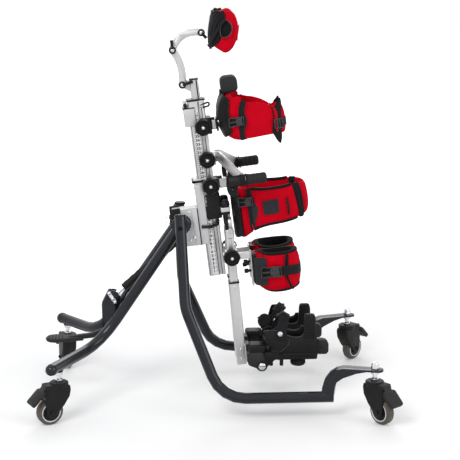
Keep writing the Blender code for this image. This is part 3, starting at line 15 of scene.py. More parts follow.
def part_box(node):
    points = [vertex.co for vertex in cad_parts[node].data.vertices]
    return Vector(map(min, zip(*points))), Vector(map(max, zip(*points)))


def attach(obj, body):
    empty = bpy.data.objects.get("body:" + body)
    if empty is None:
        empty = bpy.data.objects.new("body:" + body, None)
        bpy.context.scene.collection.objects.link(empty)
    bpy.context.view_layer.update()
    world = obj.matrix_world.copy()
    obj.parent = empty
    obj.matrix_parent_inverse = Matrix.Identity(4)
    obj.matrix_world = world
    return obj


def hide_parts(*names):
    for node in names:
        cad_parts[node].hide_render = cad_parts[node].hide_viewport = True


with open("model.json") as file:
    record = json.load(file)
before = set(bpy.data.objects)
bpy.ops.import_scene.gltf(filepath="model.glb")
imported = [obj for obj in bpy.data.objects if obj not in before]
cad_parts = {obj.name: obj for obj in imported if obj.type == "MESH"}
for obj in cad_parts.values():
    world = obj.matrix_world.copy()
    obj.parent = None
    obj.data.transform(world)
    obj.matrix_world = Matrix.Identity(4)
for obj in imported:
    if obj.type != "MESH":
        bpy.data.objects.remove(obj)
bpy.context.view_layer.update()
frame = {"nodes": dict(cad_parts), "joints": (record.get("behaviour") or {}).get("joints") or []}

JOINT = {joint["name"]: joint for joint in frame["joints"]}
NODE = frame["nodes"]
SIDES = {"near": -1, "far": 1}
CORNERS = ("rear_near", "rear_far", "front_near", "front_far")

# Sizes repeated from the part's source, metres
MAST_LEAN = math.radians(7.0)
LEG_TURN = math.radians(5.4)
PAD_TURN = math.radians(6.0)
MAST_FRONT, MAST_HALF = 0.118, 0.02
MAST_LOW, MAST_TOP = -0.18, 0.366
POST_HALF, POST_MIDDLE = 0.013, 0.0955
GRIP_AXIS_Z, GRIP_START, GRIP_END, GRIP_OUT = 0.133, 0.156, 0.269, 0.15
LEG_ACROSS, KNEE_DROP, KNEE_ACROSS = 0.04, -0.102, 0.019
SOLE_HALF, FOOT_ACROSS = 0.039, 0.0325
PEDAL_DROP = math.radians(44.0)
HOOD_TOP, WHEEL_R, TRAIL, HOOD_HALF = 0.128, 0.04, 0.032, 0.0225

# Ovals that the supports follow in plan: middle x, middle y, half depth, half width, taper to
# the front, bow of the back and the height of the bow's middle. The knee's is the near one
CHEST = (0.255, 0.0, 0.097, 0.105, 0.6, 0.021, 0.308)
PELVIS = (0.2825, 0.0, 0.1125, 0.11, 0.42, 0.0, 0.0)
HEAD = (0.104, 0.0, 0.074, 0.085, 0.15, 0.0, 0.0)
KNEE = (0.1345, -KNEE_ACROSS, 0.0665, 0.053, 0.0, 0.0, 0.0)


def placed(at, turn):
    """Frame whose x axis rises by a turn about the across axis."""
    return Matrix.Translation(at) @ Matrix.Rotation(-turn, 4, "Y")


MAST = placed(JOINT["tilt"]["pos_m"], MAST_LEAN)
HEADREST = placed(JOINT["headrest_tilt"]["pos_m"], -PAD_TURN)
LEG = {name: placed(JOINT["leg_spread_" + name]["pos_m"], LEG_TURN) for name in SIDES}
CUFF = {name: LEG[name] @ Matrix.Translation((0, 0, KNEE_DROP)) for name in SIDES}
FOOT = {name: Matrix.Translation(JOINT["ankle_" + name]["pos_m"]) for name in SIDES}

# The frame that the work on a body is drawn in, where that isn't the world's
FRAMES = {"headrest": HEADREST}
FRAMES.update(dict.fromkeys(("mast", "handle", "head_post", "chest_support", "pelvis_support"),
                            MAST))
for name in SIDES:
    FRAMES.update({f"leg_{name}": LEG[name], f"shin_{name}": LEG[name], f"foot_{name}": FOOT[name],
                   f"knee_slider_{name}": CUFF[name], f"knee_support_{name}": CUFF[name]})


# Finishes

class Finish:
    """One procedural material: its node tree, its shader and short ways to add to them."""

    def __init__(self, name, colour, roughness, metallic=0.0, **constants):
        self.material = bpy.data.materials.new(name)
        self.material.use_nodes = True
        self.nodes = self.material.node_tree.nodes
        self.links = self.material.node_tree.links
        self.shader = self.nodes["Principled BSDF"]
        self.shader.inputs["Base Color"].default_value = (*colour, 1)
        self.shader.inputs["Roughness"].default_value = roughness
        self.shader.inputs["Metallic"].default_value = metallic
        for key, value in constants.items():
            self.shader.inputs[key.replace("_", " ")].default_value = value

    def node(self, kind, *feeds, **settings):
        made = self.nodes.new("ShaderNode" + kind)
        for key, value in settings.items():
            if hasattr(made, key):
                setattr(made, key, value)
            else:
                made.inputs[key.replace("_", " ")].default_value = value
        for slot, feed in enumerate(feeds):
            if feed is None:
                continue
            if isinstance(feed, bpy.types.NodeSocket):
                self.links.new(feed, made.inputs[slot])
            else:
                made.inputs[slot].default_value = feed
        return made

    def point(self, turn=0.0, stretch=(1, 1, 1), own_map=False):
        """Object or own map coordinates, turned about the across axis and then stretched."""
        source = self.node("TexCoord").outputs["UV" if own_map else "Object"]
        if turn:
            source = self.node("Mapping", source, Rotation=(0, turn, 0)).outputs[0]
        return self.node("Mapping", source, Scale=stretch).outputs[0]

    def math(self, operation, a, b=0.0):
        return self.node("Math", a, b, operation=operation).outputs[0]

    def cloud(self, point, size, detail=3.0, rough=0.55):
        """Soft noise whose lumps are about size metres across."""
        return self.node("TexNoise", point, Scale=1.0 / size, Detail=detail,
                         Roughness=rough).outputs["Fac"]

    def fade(self, value, low, high, start=0.0, end=1.0):
        made = self.node("MapRange", value, low, high, start, end)
        return made.outputs[0]

    def tint(self, share, first, second):
        """Mix of two colours, each a colour or a socket."""
        made = self.node("Mix", data_type="RGBA")
        for slot, value in ((0, share), (6, first), (7, second)):
            if isinstance(value, bpy.types.NodeSocket):
                self.links.new(value, made.inputs[slot])
            else:
                made.inputs[slot].default_value = value if slot == 0 else (*value, 1)
        return made.outputs[2]

    def colour(self, socket):
        self.links.new(socket, self.shader.inputs["Base Color"])

    def roughness(self, socket):
        self.links.new(socket, self.shader.inputs["Roughness"])

    def relief(self, height, depth, strength=1.0, under=None):
        """Bump of a given depth in metres, on top of another bump where one is given."""
        made = self.node("Bump", Strength=strength, Distance=depth)
        self.links.new(height, made.inputs["Height"])
        if under:
            self.links.new(under, made.inputs["Normal"])
        self.links.new(made.outputs[0], self.shader.inputs["Normal"])
        return made.outputs[0]


# Cycles a metre of the noise that draws lines along Z, and the length of a stitch in metres
DRAW_LINES = (900, 900, 14)
STITCH_LENGTH = 0.0042


def powder_coat():
    """Graphite metallic powder coat: fine orange peel, sparkle, rubbed patches."""
    made = Finish("graphite_powder_coat", (0.035, 0.038, 0.046), 0.3, 0.4, Coat_Weight=0.32,
                  Coat_Roughness=0.06, Specular_IOR_Level=0.22)
    point = made.point()
    flake = made.cloud(point, 0.0011, 2)
    drift = made.cloud(point, 0.09, 3)
    scuff = made.fade(made.cloud(point, 0.022, 6, 0.7), 0.6, 0.74)
    base = made.tint(drift, (0.01, 0.011, 0.015), (0.019, 0.02, 0.027))
    base = made.tint(made.fade(flake, 0.58, 0.78, 0.0, 0.55), base, (0.06, 0.064, 0.078))
    made.colour(made.tint(made.math("MULTIPLY", scuff, 0.16), base, (0.1, 0.1, 0.11)))
    made.roughness(made.math("ADD", made.math("MULTIPLY", drift, 0.12),
                             made.math("ADD", made.math("MULTIPLY", scuff, 0.12), 0.16)))
    peel = made.relief(made.cloud(point, 0.004, 2), 0.00012, 0.5)
    made.relief(flake, 0.00003, 0.6, peel)
    return made.material


def anodised(name, turn, tone=0.62, grain=DRAW_LINES):
    """Satin aluminium with fine draw lines along the piece."""
    made = Finish(name, (tone, tone, tone * 1.01), 0.34, 0.9)
    drawn = made.node("TexNoise", made.point(turn, grain), Scale=1.0, Detail=3.0).outputs["Fac"]
    point = made.point()
    smudge = made.cloud(point, 0.035, 5, 0.6)
    base = made.tint(drawn, (tone * 0.9,) * 3, (tone * 1.1, tone * 1.1, tone * 1.12))
    made.colour(made.tint(made.fade(smudge, 0.5, 0.72, 0.0, 0.35), base, (tone * 0.72,) * 3))
    made.roughness(made.fade(smudge, 0.3, 0.7, 0.29, 0.44))
    made.relief(drawn, 0.00004, 0.5)
    return made.material


def cast_silver():
    """Silver painted plate and castings with a fine sanded skin."""
    made = Finish("silver_painted_casting", (0.6, 0.6, 0.6), 0.4, 0.55)
    point = made.point()
    skin = made.cloud(point, 0.0016, 3)
    drift = made.cloud(point, 0.05, 4)
    made.colour(made.tint(drift, (0.52, 0.52, 0.525), (0.7, 0.7, 0.7)))
    made.roughness(made.fade(drift, 0.3, 0.7, 0.34, 0.5))
    made.relief(skin, 0.00007, 0.6)
    return made.material


def chrome():
    """Bright chrome, a little dulled in drifting patches."""
    made = Finish("bright_chrome", (0.8, 0.8, 0.82), 0.12, 1.0)
    smear = made.cloud(made.point(), 0.015, 5, 0.65)
    made.colour(made.tint(smear, (0.72, 0.72, 0.74), (0.86, 0.86, 0.88)))
    made.roughness(made.fade(smear, 0.35, 0.75, 0.07, 0.24))
    made.relief(smear, 0.00003, 0.3)
    return made.material


def moulded(name, tone=0.009, rough=0.46, grain=0.0009, depth=0.00007):
    """Moulded plastic with an etched grain, slight bloom and handling marks."""
    made = Finish(name, (tone, tone, tone * 1.08), rough, 0.0, Specular_IOR_Level=0.2)
    point = made.point()
    etched = made.node("TexVoronoi", point, Scale=1.0 / grain).outputs["Distance"]
    drift = made.cloud(point, 0.018, 5, 0.65)
    base = made.tint(drift, (tone * 0.75,) * 3, (tone * 1.5, tone * 1.5, tone * 1.6))
    marks = made.fade(made.cloud(point, 0.006, 6, 0.75), 0.62, 0.75)
    made.colour(made.tint(made.math("MULTIPLY", marks, 0.25), base, (tone * 4,) * 3))
    made.roughness(made.fade(drift, 0.3, 0.7, rough - 0.07, rough + 0.1))
    made.relief(etched, depth, 0.5)
    return made.material


def ribbed_rubber():
    """Grip rubber: matt, dusty in the hollows, with a fine dimple."""
    made = Finish("grip_rubber", (0.012, 0.012, 0.013), 0.66, 0.0, Specular_IOR_Level=0.3)
    point = made.point(MAST_LEAN, (1, 1, 1))
    dust = made.cloud(point, 0.012, 6, 0.7)
    dimple = made.node("TexVoronoi", point, Scale=620.0).outputs["Distance"]
    made.colour(made.tint(dust, (0.007, 0.007, 0.008), (0.02, 0.02, 0.02)))
    made.roughness(made.fade(dust, 0.3, 0.7, 0.62, 0.85))
    made.relief(dimple, 0.00025, 0.5)
    return made.material


def tyre_tread():
    """Taupe wheel tread with mould haze, floor dirt and fine scratches."""
    made = Finish("taupe_tread", (0.11, 0.097, 0.082), 0.55, 0.0, Specular_IOR_Level=0.25)
    point = made.point()
    dirt = made.fade(made.cloud(point, 0.01, 7, 0.7), 0.45, 0.75)
    haze = made.cloud(point, 0.03, 3)
    base = made.tint(haze, (0.085, 0.074, 0.061), (0.135, 0.118, 0.099))
    made.colour(made.tint(made.math("MULTIPLY", dirt, 0.5), base, (0.04, 0.035, 0.03)))
    made.roughness(made.fade(dirt, 0.0, 1.0, 0.42, 0.72))
    made.relief(made.cloud(point, 0.0014, 4), 0.0001, 0.6)
    return made.material


def woven(name, deep, bright, pitch, rough, sheen, stitch=None, rib=False, crease=0.0006,
          gloss=0.1):
    """Cloth read from the piece's own map in metres: weave, drift of tone, soft creases.

    The hem attribute is the distance to the piece's edge, and carries a row of stitches.
    The hollows of the weave and the gully along the stitches are darkened as painted shade.
    """
    made = Finish(name, bright, rough, 0.0, Sheen_Weight=sheen, Sheen_Roughness=0.5,
                  Specular_IOR_Level=gloss)
    own = made.node("SeparateXYZ", made.point(own_map=True))
    along = made.math("SINE", made.math("MULTIPLY", own.outputs[0], 2 * math.pi / pitch))
    over = made.math("SINE", made.math("MULTIPLY", own.outputs[1], 2 * math.pi / pitch))
    if rib:
        thread = made.math("ADD", made.math("MULTIPLY", along, 0.75),
                           made.math("MULTIPLY", over, 0.25))
    else:
        thread = made.math("MULTIPLY", along, over)
    thread = made.fade(thread, -1.0, 1.0)
    point = made.point()
    drift = made.cloud(point, 0.03, 4, 0.6)
    lint = made.cloud(point, 0.0012, 3, 0.7)
    base = made.tint(drift, deep, bright)
    # Darker tone used as painted shade in the weave's hollows and in the stitch gully
    dark = tuple(0.62 * value for value in deep)
    base = made.tint(made.fade(thread, 0.0, 0.6, 0.55, 0.0), base, dark)
    base = made.tint(made.fade(lint, 0.55, 0.8, 0.0, 0.25), base,
                     tuple(min(1.0, value * 1.5 + 0.006) for value in bright))
    under = made.relief(made.cloud(point, 0.02, 3, 0.5), crease, 0.8)
    under = made.relief(thread, 0.00016, 0.55, under)
    if stitch:
        hem = made.node("Attribute", attribute_name="hem").outputs["Fac"]
        off = made.math("ABSOLUTE", made.math("SUBTRACT", hem, stitch))
        row = made.fade(off, 0.0004, 0.001, 1.0, 0.0)
        dash = made.math("FRACT", made.math("MULTIPLY", own.outputs[0], 1 / STITCH_LENGTH))
        dash = made.fade(made.math("ABSOLUTE", made.math("SUBTRACT", dash, 0.5)), 0.3, 0.36,
                         1.0, 0.0)
        thread_here = made.math("MULTIPLY", row, dash)
        gully = made.fade(off, 0.0006, 0.0032, 0.0, 1.0)
        # Painted shade: the colour is darkened in the gully along the stitch row
        base = made.tint(made.fade(gully, 0.0, 1.0, 0.35, 0.0), base, dark)
        base = made.tint(made.math("MULTIPLY", thread_here, 0.75), base,
                         tuple(value * 1.25 for value in bright))
        under = made.relief(gully, 0.0008, 0.7, under)
        made.relief(thread_here, 0.0004, 0.8, under)
    made.colour(base)
    made.roughness(made.fade(drift, 0.3, 0.7, rough - 0.06, rough + 0.05))
    return made.material


def scale_film():
    """Pale film of the mast's scale: faint print grain and rubbed patches."""
    made = Finish("pale_scale_film", (0.8, 0.8, 0.79), 0.38)
    point = made.point()
    wear = made.fade(made.cloud(point, 0.008, 6, 0.7), 0.55, 0.75)
    made.colour(made.tint(made.math("MULTIPLY", wear, 0.4), (0.82, 0.82, 0.81),
                          (0.55, 0.55, 0.55)))
    made.roughness(made.fade(wear, 0.0, 1.0, 0.3, 0.55))
    made.relief(wear, 0.00003, 0.4)
    return made.material


def sleeve_finish(name, where):
    """Drawn aluminium tube whose foot bracket, forward of it, is moulded black."""
    made = Finish(name, (0.66, 0.66, 0.665), 0.34, 0.9)
    source = made.node("TexCoord").outputs["Object"]
    back = where.inverted()
    local = made.node("Mapping", source, Location=back.translation, Rotation=back.to_euler())
    along = made.node("SeparateXYZ", local.outputs[0]).outputs[0]
    black = made.math("GREATER_THAN", along, 0.0162)
    grain = made.node("Mapping", local.outputs[0], Scale=DRAW_LINES).outputs[0]
    drawn = made.node("TexNoise", grain, Scale=1.0, Detail=3.0).outputs["Fac"]
    etched = made.node("TexVoronoi", source, Scale=1100.0).outputs["Distance"]
    drift = made.cloud(source, 0.03, 4, 0.6)
    base = made.tint(drawn, (0.6, 0.6, 0.595), (0.72, 0.72, 0.715))
    base = made.tint(made.fade(drift, 0.5, 0.75, 0.0, 0.3), base, (0.5, 0.5, 0.49))
    made.colour(made.tint(black, base, (0.01, 0.01, 0.011)))
    made.links.new(made.fade(black, 0.0, 1.0, 0.9, 0.0), made.shader.inputs["Metallic"])
    made.roughness(made.fade(black, 0.0, 1.0, 0.33, 0.46))
    lines = made.math("MULTIPLY", drawn, 0.5)
    pits = made.math("MULTIPLY", etched, black)
    made.relief(made.math("ADD", lines, pits), 0.00006, 0.5)
    return made.material


COAT = powder_coat()
RAIL = anodised("drawn_rail_aluminium", MAST_LEAN, 0.6)
TUBE = anodised("drawn_leg_aluminium", LEG_TURN, 0.66)
SLEEVE = {name: sleeve_finish(f"leg_sleeve_{name}_finish", LEG[name]) for name in SIDES}
BAR = anodised("brushed_bar_aluminium", MAST_LEAN, 0.62, (16, 700, 700))
CAST = cast_silver()
CHROME = chrome()
BLACK = moulded("black_moulded_plastic")
SHELL = moulded("charcoal_moulded_shell", 0.0065, 0.42, 0.0012, 0.00009)
SATIN = moulded("satin_black_hardware", 0.008, 0.33, 0.0005, 0.00002)
CLIP = moulded("grey_buckle_plastic", 0.04, 0.26, 0.0006, 0.00003)
PEDAL = moulded("charcoal_pedal_plastic", 0.02, 0.5, 0.0014, 0.00012)
TAR = moulded("matt_black_plug", 0.002, 0.8, 0.0006, 0.00002)
# Near-black strips painted on the rail as the shade inside its grooves
SHADOW = moulded("painted_groove_shade", 0.035, 0.45, 0.0008, 0.00002)
# Lighter grey painted on the sandal welts as a highlight along the wall edges
EDGE = moulded("painted_highlight_edge", 0.045, 0.4, 0.0008, 0.00004)
RING = moulded("grey_wheel_ring", 0.62, 0.42, 0.0009, 0.00004)
GRIP = ribbed_rubber()
TREAD = tyre_tread()
FILM = scale_film()
RED = woven("red_woven_cover", (0.44, 0.0004, 0.008), (0.7, 0.0008, 0.015), 0.0011, 0.72, 0.01,
            0.0075, False, 0.0009, 0.04)
LINING = woven("red_lining", (0.36, 0.0015, 0.01), (0.56, 0.002, 0.016), 0.0008, 0.82, 0.02)
TAPE = woven("black_binding_tape", (0.004, 0.004, 0.005), (0.012, 0.012, 0.013), 0.0009, 0.8,
             0.03, None, True, 0.0003)
WEBBING = woven("black_webbing", (0.007, 0.007, 0.008), (0.022, 0.022, 0.024), 0.0016, 0.72,
                0.04, 0.003, True, 0.0003)
GREY = woven("charcoal_loop_panel", (0.022, 0.023, 0.026), (0.04, 0.041, 0.045), 0.0013, 0.9,
             0.06, 0.005)
COVER = woven("black_padded_cover", (0.005, 0.005, 0.006), (0.015, 0.015, 0.017), 0.001, 0.7,
              0.05, 0.006)

# The slot that each finish belongs to; every other one is black
SLOTS = {"red": (RED, LINING), "chrome": (CHROME,), "rubber": (GRIP,),
         "aluminium": (TUBE, CAST, FILM, SHADOW, RING)}
SLOT = {finish.name: slot for slot, finishes in SLOTS.items() for finish in finishes}


# Mesh helpers

def unit(value, power):
    """Power of a number that keeps its sign, for squarish round sections."""
    return math.copysign(abs(value) ** power, value)


def closed_up(bm):
    """Merge doubles, close what is still open and point every face outward."""
    bmesh.ops.remove_doubles(bm, verts=bm.verts, dist=1e-6)
    edges = [edge for edge in bm.edges if edge.is_boundary]
    if edges:
        bmesh.ops.holes_fill(bm, edges=edges)
    bmesh.ops.recalc_face_normals(bm, faces=bm.faces)
    return bm


def turned(profile, steps=28, ring=False):
    """Profile of (radius, height) pairs spun round Z. A ring's profile closes on itself."""
    bm = bmesh.new()
    line = [bm.verts.new((radius, 0, height)) for radius, height in profile]
    pairs = list(zip(line, line[1:])) + ([(line[-1], line[0])] if ring else [])
    edges = [bm.edges.new(pair) for pair in pairs]
    bmesh.ops.spin(bm, geom=line + edges, cent=(0, 0, 0), axis=(0, 0, 1), angle=2 * math.pi,
                   steps=steps, use_merge=True)
    return closed_up(bm)


def slab(size, round_by=0.0, segments=2, at=(0, 0, 0)):
    """Block with rounded edges, its middle at a point."""
    bm = bmesh.new()
    bmesh.ops.create_cube(bm, size=1.0)
    bmesh.ops.scale(bm, vec=size, verts=bm.verts)
    if round_by:
        bmesh.ops.bevel(bm, geom=bm.edges[:], offset=round_by, segments=segments,
                        affect="EDGES", profile=0.5, material=-1)
    return shifted(bm, at)


def nut(across, height, dome=0.0):
    """Six-sided nut with broken corners, on the plane Z = 0."""
    bm = bmesh.new()
    bmesh.ops.create_cone(bm, cap_ends=True, segments=6, radius1=across / 2, radius2=across / 2,
                          depth=height)
    bmesh.ops.translate(bm, vec=(0, 0, height / 2), verts=bm.verts)
    bmesh.ops.bevel(bm, geom=bm.edges[:], offset=across * 0.06, segments=2, affect="EDGES",
                    profile=0.5, material=-1)
    if dome:
        bm = gathered(bm, turned([(0.0, height + dome), (across * 0.16, height + dome * 0.9),
                                  (across * 0.3, height + dome * 0.5),
                                  (across * 0.36, height - 0.0002), (0.0, height - 0.0002)], 20))
    return bm


def gathered(*parts):
    """Several loose shapes as one mesh."""
    whole = parts[0]
    for part in parts[1:]:
        holder = bpy.data.meshes.new("holder")
        part.to_mesh(holder)
        part.free()
        whole.from_mesh(holder)
        bpy.data.meshes.remove(holder)
    return whole


def shifted(bm, at=(0, 0, 0), axis=None, spin=0.0):
    """Turn a shape's Z onto an axis, spin it about itself first, then move it."""
    turn = Matrix.Rotation(spin, 4, "Z")
    if axis:
        turn = Vector((0, 0, 1)).rotation_difference(Vector(axis)).to_matrix().to_4x4() @ turn
    bmesh.ops.transform(bm, matrix=Matrix.Translation(at) @ turn, verts=bm.verts)
    return bm


def sided(bm, side):
    """Shape drawn for the near side, mirrored where it is the far side's."""
    if side > 0:
        bmesh.ops.scale(bm, vec=(1, -1, 1), verts=bm.verts)
        bmesh.ops.reverse_faces(bm, faces=bm.faces)
    return bm


def rolled(cells, place, size, hem=None):
    """Grid rolled into a tube: place(s, r) sets each corner, s along and r round, 0 to 1.

    The map is laid in metres, and hem(s, r) is kept as an attribute for the stitches.
    """
    bm = bmesh.new()
    bmesh.ops.create_grid(bm, x_segments=cells[0], y_segments=cells[1], size=0.5, calc_uvs=True)
    lay = bm.loops.layers.uv.verify()
    edge = bm.verts.layers.float.new("hem")
    for face in bm.faces:
        for corner in face.loops:
            spot = corner.vert.co
            corner[lay].uv = ((spot.x + 0.5) * size[0], (spot.y + 0.5) * size[1])
    for vert in bm.verts:
        s, r = vert.co.x + 0.5, vert.co.y + 0.5
        vert[edge] = hem(s, r) if hem else 1.0
        vert.co = place(s, r)
    return closed_up(bm)


def smooth_line(points, per_span=6):
    """Points of a soft curve through the given ones."""
    rows = [Vector(p) for p in points]
    rows = [rows[0] * 2 - rows[1]] + rows + [rows[-1] * 2 - rows[-2]]
    line = []
    for a, b, c, d in zip(rows, rows[1:], rows[2:], rows[3:]):
        for k in range(per_span):
            t = k / per_span
            line.append(0.5 * (2 * b + (c - a) * t + (2 * a - 5 * b + 4 * c - d) * t * t
                               + (3 * b - a - 3 * c + d) * t ** 3))
    return line + [rows[-2]]


def ribbon(points, ups, wide, thick, around=12, square=0.45, loop=False):
    """Flat or round section swept along points, its thin way along ups, one or one each.

    Widths may vary along it, as functions of the share of its length.
    """
    count = len(points)
    if isinstance(ups, Vector):
        ups = [ups] * count
    if loop:
        points, ups = list(points) + [points[0]], list(ups) + [ups[0]]
        count += 1
    length = sum((b - a).length for a, b in zip(points, points[1:]))
    rows = []
    for k, spot in enumerate(points):
        if loop:
            ahead, behind = points[(k + 1) % (count - 1)], points[(k - 1) % (count - 1)]
        else:
            ahead, behind = points[min(k + 1, count - 1)], points[max(k - 1, 0)]
        heading = (ahead - behind).normalized()
        side = heading.cross(ups[k]).normalized()
        rows.append((spot, side, side.cross(heading)))
    broad = wide if callable(wide) else lambda s: wide
    high = thick if callable(thick) else lambda s: thick

    def place(s, r):
        spot, side, up = rows[round(s * (count - 1))]
        turn = 2 * math.pi * r
        return (spot + side * unit(math.cos(turn), square) * broad(s) / 2
                + up * unit(math.sin(turn), square) * high(s) / 2)

    def hem(s, r):
        return broad(s) / 2 * (1 - abs(unit(math.cos(2 * math.pi * r), square)))

    return rolled((count - 1, around), place, (length, 2 * broad(0.5)), hem)


def wrap_point(turn, deep, wide, taper, power=2.6):
    """Point on a support's flattened oval, as the part's source has it."""
    c, s = math.cos(turn), math.sin(turn)
    x, y = unit(c, 2 / power), unit(s, 2 / power)
    return deep * x, wide * y * (1 - taper * math.sin(math.pi / 4 * (1 + x)))


def skin(oval, turn, z, out=0.0):
    """Point at an angle in plan and a height, out from the support's outer face."""
    middle, across, deep, wide, taper, bow, bow_z = oval
    x, y = wrap_point(turn, deep + out, wide + out, taper)
    x += middle
    share = min(1.0, max(0.0, (middle + deep - x) / (2 * deep)))
    return Vector((x + bow * share * ((z - bow_z) / 0.07) ** 2, across + y, z))


def blend(turn, back, side, front):
    """Value at a turn round an oval, between those of its back, sides and front."""
    c = math.cos(turn)
    return side + ((back if c < 0 else front) - side) * c * c


def girth(oval, start, end, z, steps=24):
    """Length along an oval between two turns, at a height."""
    spots = [skin(oval, start + (end - start) * k / steps, z) for k in range(steps + 1)]
    return sum((b - a).length for a, b in zip(spots, spots[1:]))


def course(*marks):
    """Straight runs between (share, value) marks, as a function of the share."""
    def at(share):
        share = min(max(share, marks[0][0]), marks[-1][0])
        for (a, low), (b, high) in zip(marks, marks[1:]):
            if share <= b:
                return low + (high - low) * (share - a) / (b - a)
        return marks[-1][1]
    return at


def quilt(oval, turns, low, high, deep, proud=0.0, crown=0.003, cells=(48, 32), seams=(),
          limp=0.001, seed=0, roll=1.0):
    """Crowned, closed cushion round an oval, from one angle to another.

    The two angles are numbers, or functions of the height's share from 0 to 1. low, high and
    deep are functions of the angle. Seams are (angle, half width, depth, lean) and pull the
    outer face in. The ends are rounded, and limp is how uneven the filling lies.
    """
    ends = [turn if callable(turn) else course((0.0, turn), (1.0, turn)) for turn in turns]
    loop = abs(ends[1](0.5) - ends[0](0.5)) > 359.9
    from_mid, to_mid = (math.radians(end(0.5)) for end in ends)
    middle_turn = (from_mid + to_mid) / 2
    mid_z = (low(middle_turn) + high(middle_turn)) / 2
    length = girth(oval, from_mid, to_mid, mid_z)
    tall = high(middle_turn) - low(middle_turn)
    sharp = max(5.0, 2.4 * length / (deep(middle_turn) * roll))

    def spread(s):
        return s if loop else s - 0.75 * math.sin(2 * math.pi * s) / (2 * math.pi)

    def parts(s, r):
        s, phi = spread(s), 2 * math.pi * r
        off, rise = unit(math.cos(phi), 0.62), unit(math.sin(phi), 0.5)
        share = (rise + 1) / 2
        start, end = (math.radians(at(share)) for at in ends)
        near_end = 0.0 if loop else abs(2 * s - 1)
        full = max(0.0, 1 - near_end ** sharp) ** 0.5
        return s, share, start + (end - start) * s, full, off, rise

    def place(s, r):
        s, share, turn, full, off, rise = parts(s, r)
        base, top, thick = low(turn), high(turn), deep(turn)
        z = (base + top) / 2 + rise * (top - base) / 2 * (0.93 + 0.07 * full)
        puff = (1 - rise * rise) * full
        swell = crown * puff if off > 0 else crown * 0.3 * puff * off
        if off > 0:
            for at, width, depth, lean in seams:
                away = math.degrees(turn) - at - lean * (share - 0.5)
                swell -= depth * math.exp(-(away / width) ** 2)
        spot = Vector((turn * 5.0, z * 46.0, seed + (3.0 if off > 0 else 0.0)))
        swell += limp * noise.noise(spot) * (0.4 + 0.6 * full)
        fine = Vector((turn * 16.0, z * 26.0, seed + 7.0))
        swell += limp * 0.45 * noise.noise(fine)
        lift = proud(turn) if callable(proud) else proud
        out = lift - thick / 2 + off * thick / 2 * max(0.1, full) + swell
        return skin(oval, turn, z, out)

    def hem(s, r):
        s, share, turn, full, off, rise = parts(s, r)
        sides = 1.0 if loop else min(s, 1 - s) * length
        return min((1 - abs(rise)) * tall / 2, sides) if off > 0 else 1.0

    return rolled(cells, place, (length, 2 * tall), hem)


def track(oval, marks, per_span=6):
    """Soft line on a support through (degrees, height, out), with its outward directions."""
    rows = smooth_line(marks, per_span)
    points = [skin(oval, math.radians(a), z, out) for a, z, out in rows]
    ups = [(skin(oval, math.radians(a), z, out + 0.002) - p).normalized()
           for (a, z, out), p in zip(rows, points)]
    return points, ups


def taped(oval, marks, wide, thick, per_span=6, square=0.45, around=12):
    """Soft band along a track on a support."""
    points, ups = track(oval, marks, per_span)
    return ribbon(points, ups, wide, thick, around, square)


def laid(bm, oval, degrees, z, out=0.0, spin=0.0):
    """Lay a flat shape on a support: its X along the wrap, its Z outward."""
    turn = math.radians(degrees)
    spot = skin(oval, turn, z, out)
    along = (skin(oval, turn + 0.03, z, out) - skin(oval, turn - 0.03, z, out)).normalized()
    up = Vector((0, 0, 1))
    face = along.cross(up)
    across = face.cross(along)
    basis = Matrix((along, across, face)).transposed().to_4x4()
    bmesh.ops.transform(bm, matrix=Matrix.Translation(spot) @ basis
                        @ Matrix.Rotation(spin, 4, "Z"), verts=bm.verts)
    return bm


def cut_out(outline, low, high, round_by=0.0, segments=2):
    """Outline in the x-z plane given a thickness across, with rounded edges."""
    bm = bmesh.new()
    face = bm.faces.new([bm.verts.new((x, low, z)) for x, z in outline])
    grown = bmesh.ops.extrude_face_region(bm, geom=[face])
    bmesh.ops.translate(bm, vec=(0, high - low, 0),
                        verts=[v for v in grown["geom"] if isinstance(v, bmesh.types.BMVert)])
    bmesh.ops.recalc_face_normals(bm, faces=bm.faces)
    if round_by:
        bmesh.ops.bevel(bm, geom=bm.edges[:], offset=round_by, segments=segments, affect="EDGES",
                        profile=0.5, material=-1)
    return bm


def fitted(name, bm, finish, body, sharp=40, level=0, swaps=(), soft=None, where=None):
    """Finish a shape as a piece on a body: placed in its mesh, smooth, with its material.

    soft is the pressure and cap that puff a cover.
    """
    where = where or FRAMES.get(body)
    if where:
        bmesh.ops.transform(bm, matrix=where, verts=bm.verts)
    mesh = bpy.data.meshes.new(name)
    bm.to_mesh(mesh)
    bm.free()
    mesh.materials.append(finish)
    for face in mesh.polygons:
        face.use_smooth = True
    mesh.set_sharp_from_angle(angle=math.radians(sharp))
    made = bpy.data.objects.new(name, mesh)
    bpy.context.scene.collection.objects.link(made)
    if soft:
        puffed(made, *soft)
    if level:
        finer = made.modifiers.new("Finer", "SUBSURF")
        finer.levels = finer.render_levels = level
    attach(made, body)
    SLOT.get(finish.name, "black")
    if swaps:
        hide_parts(*swaps)


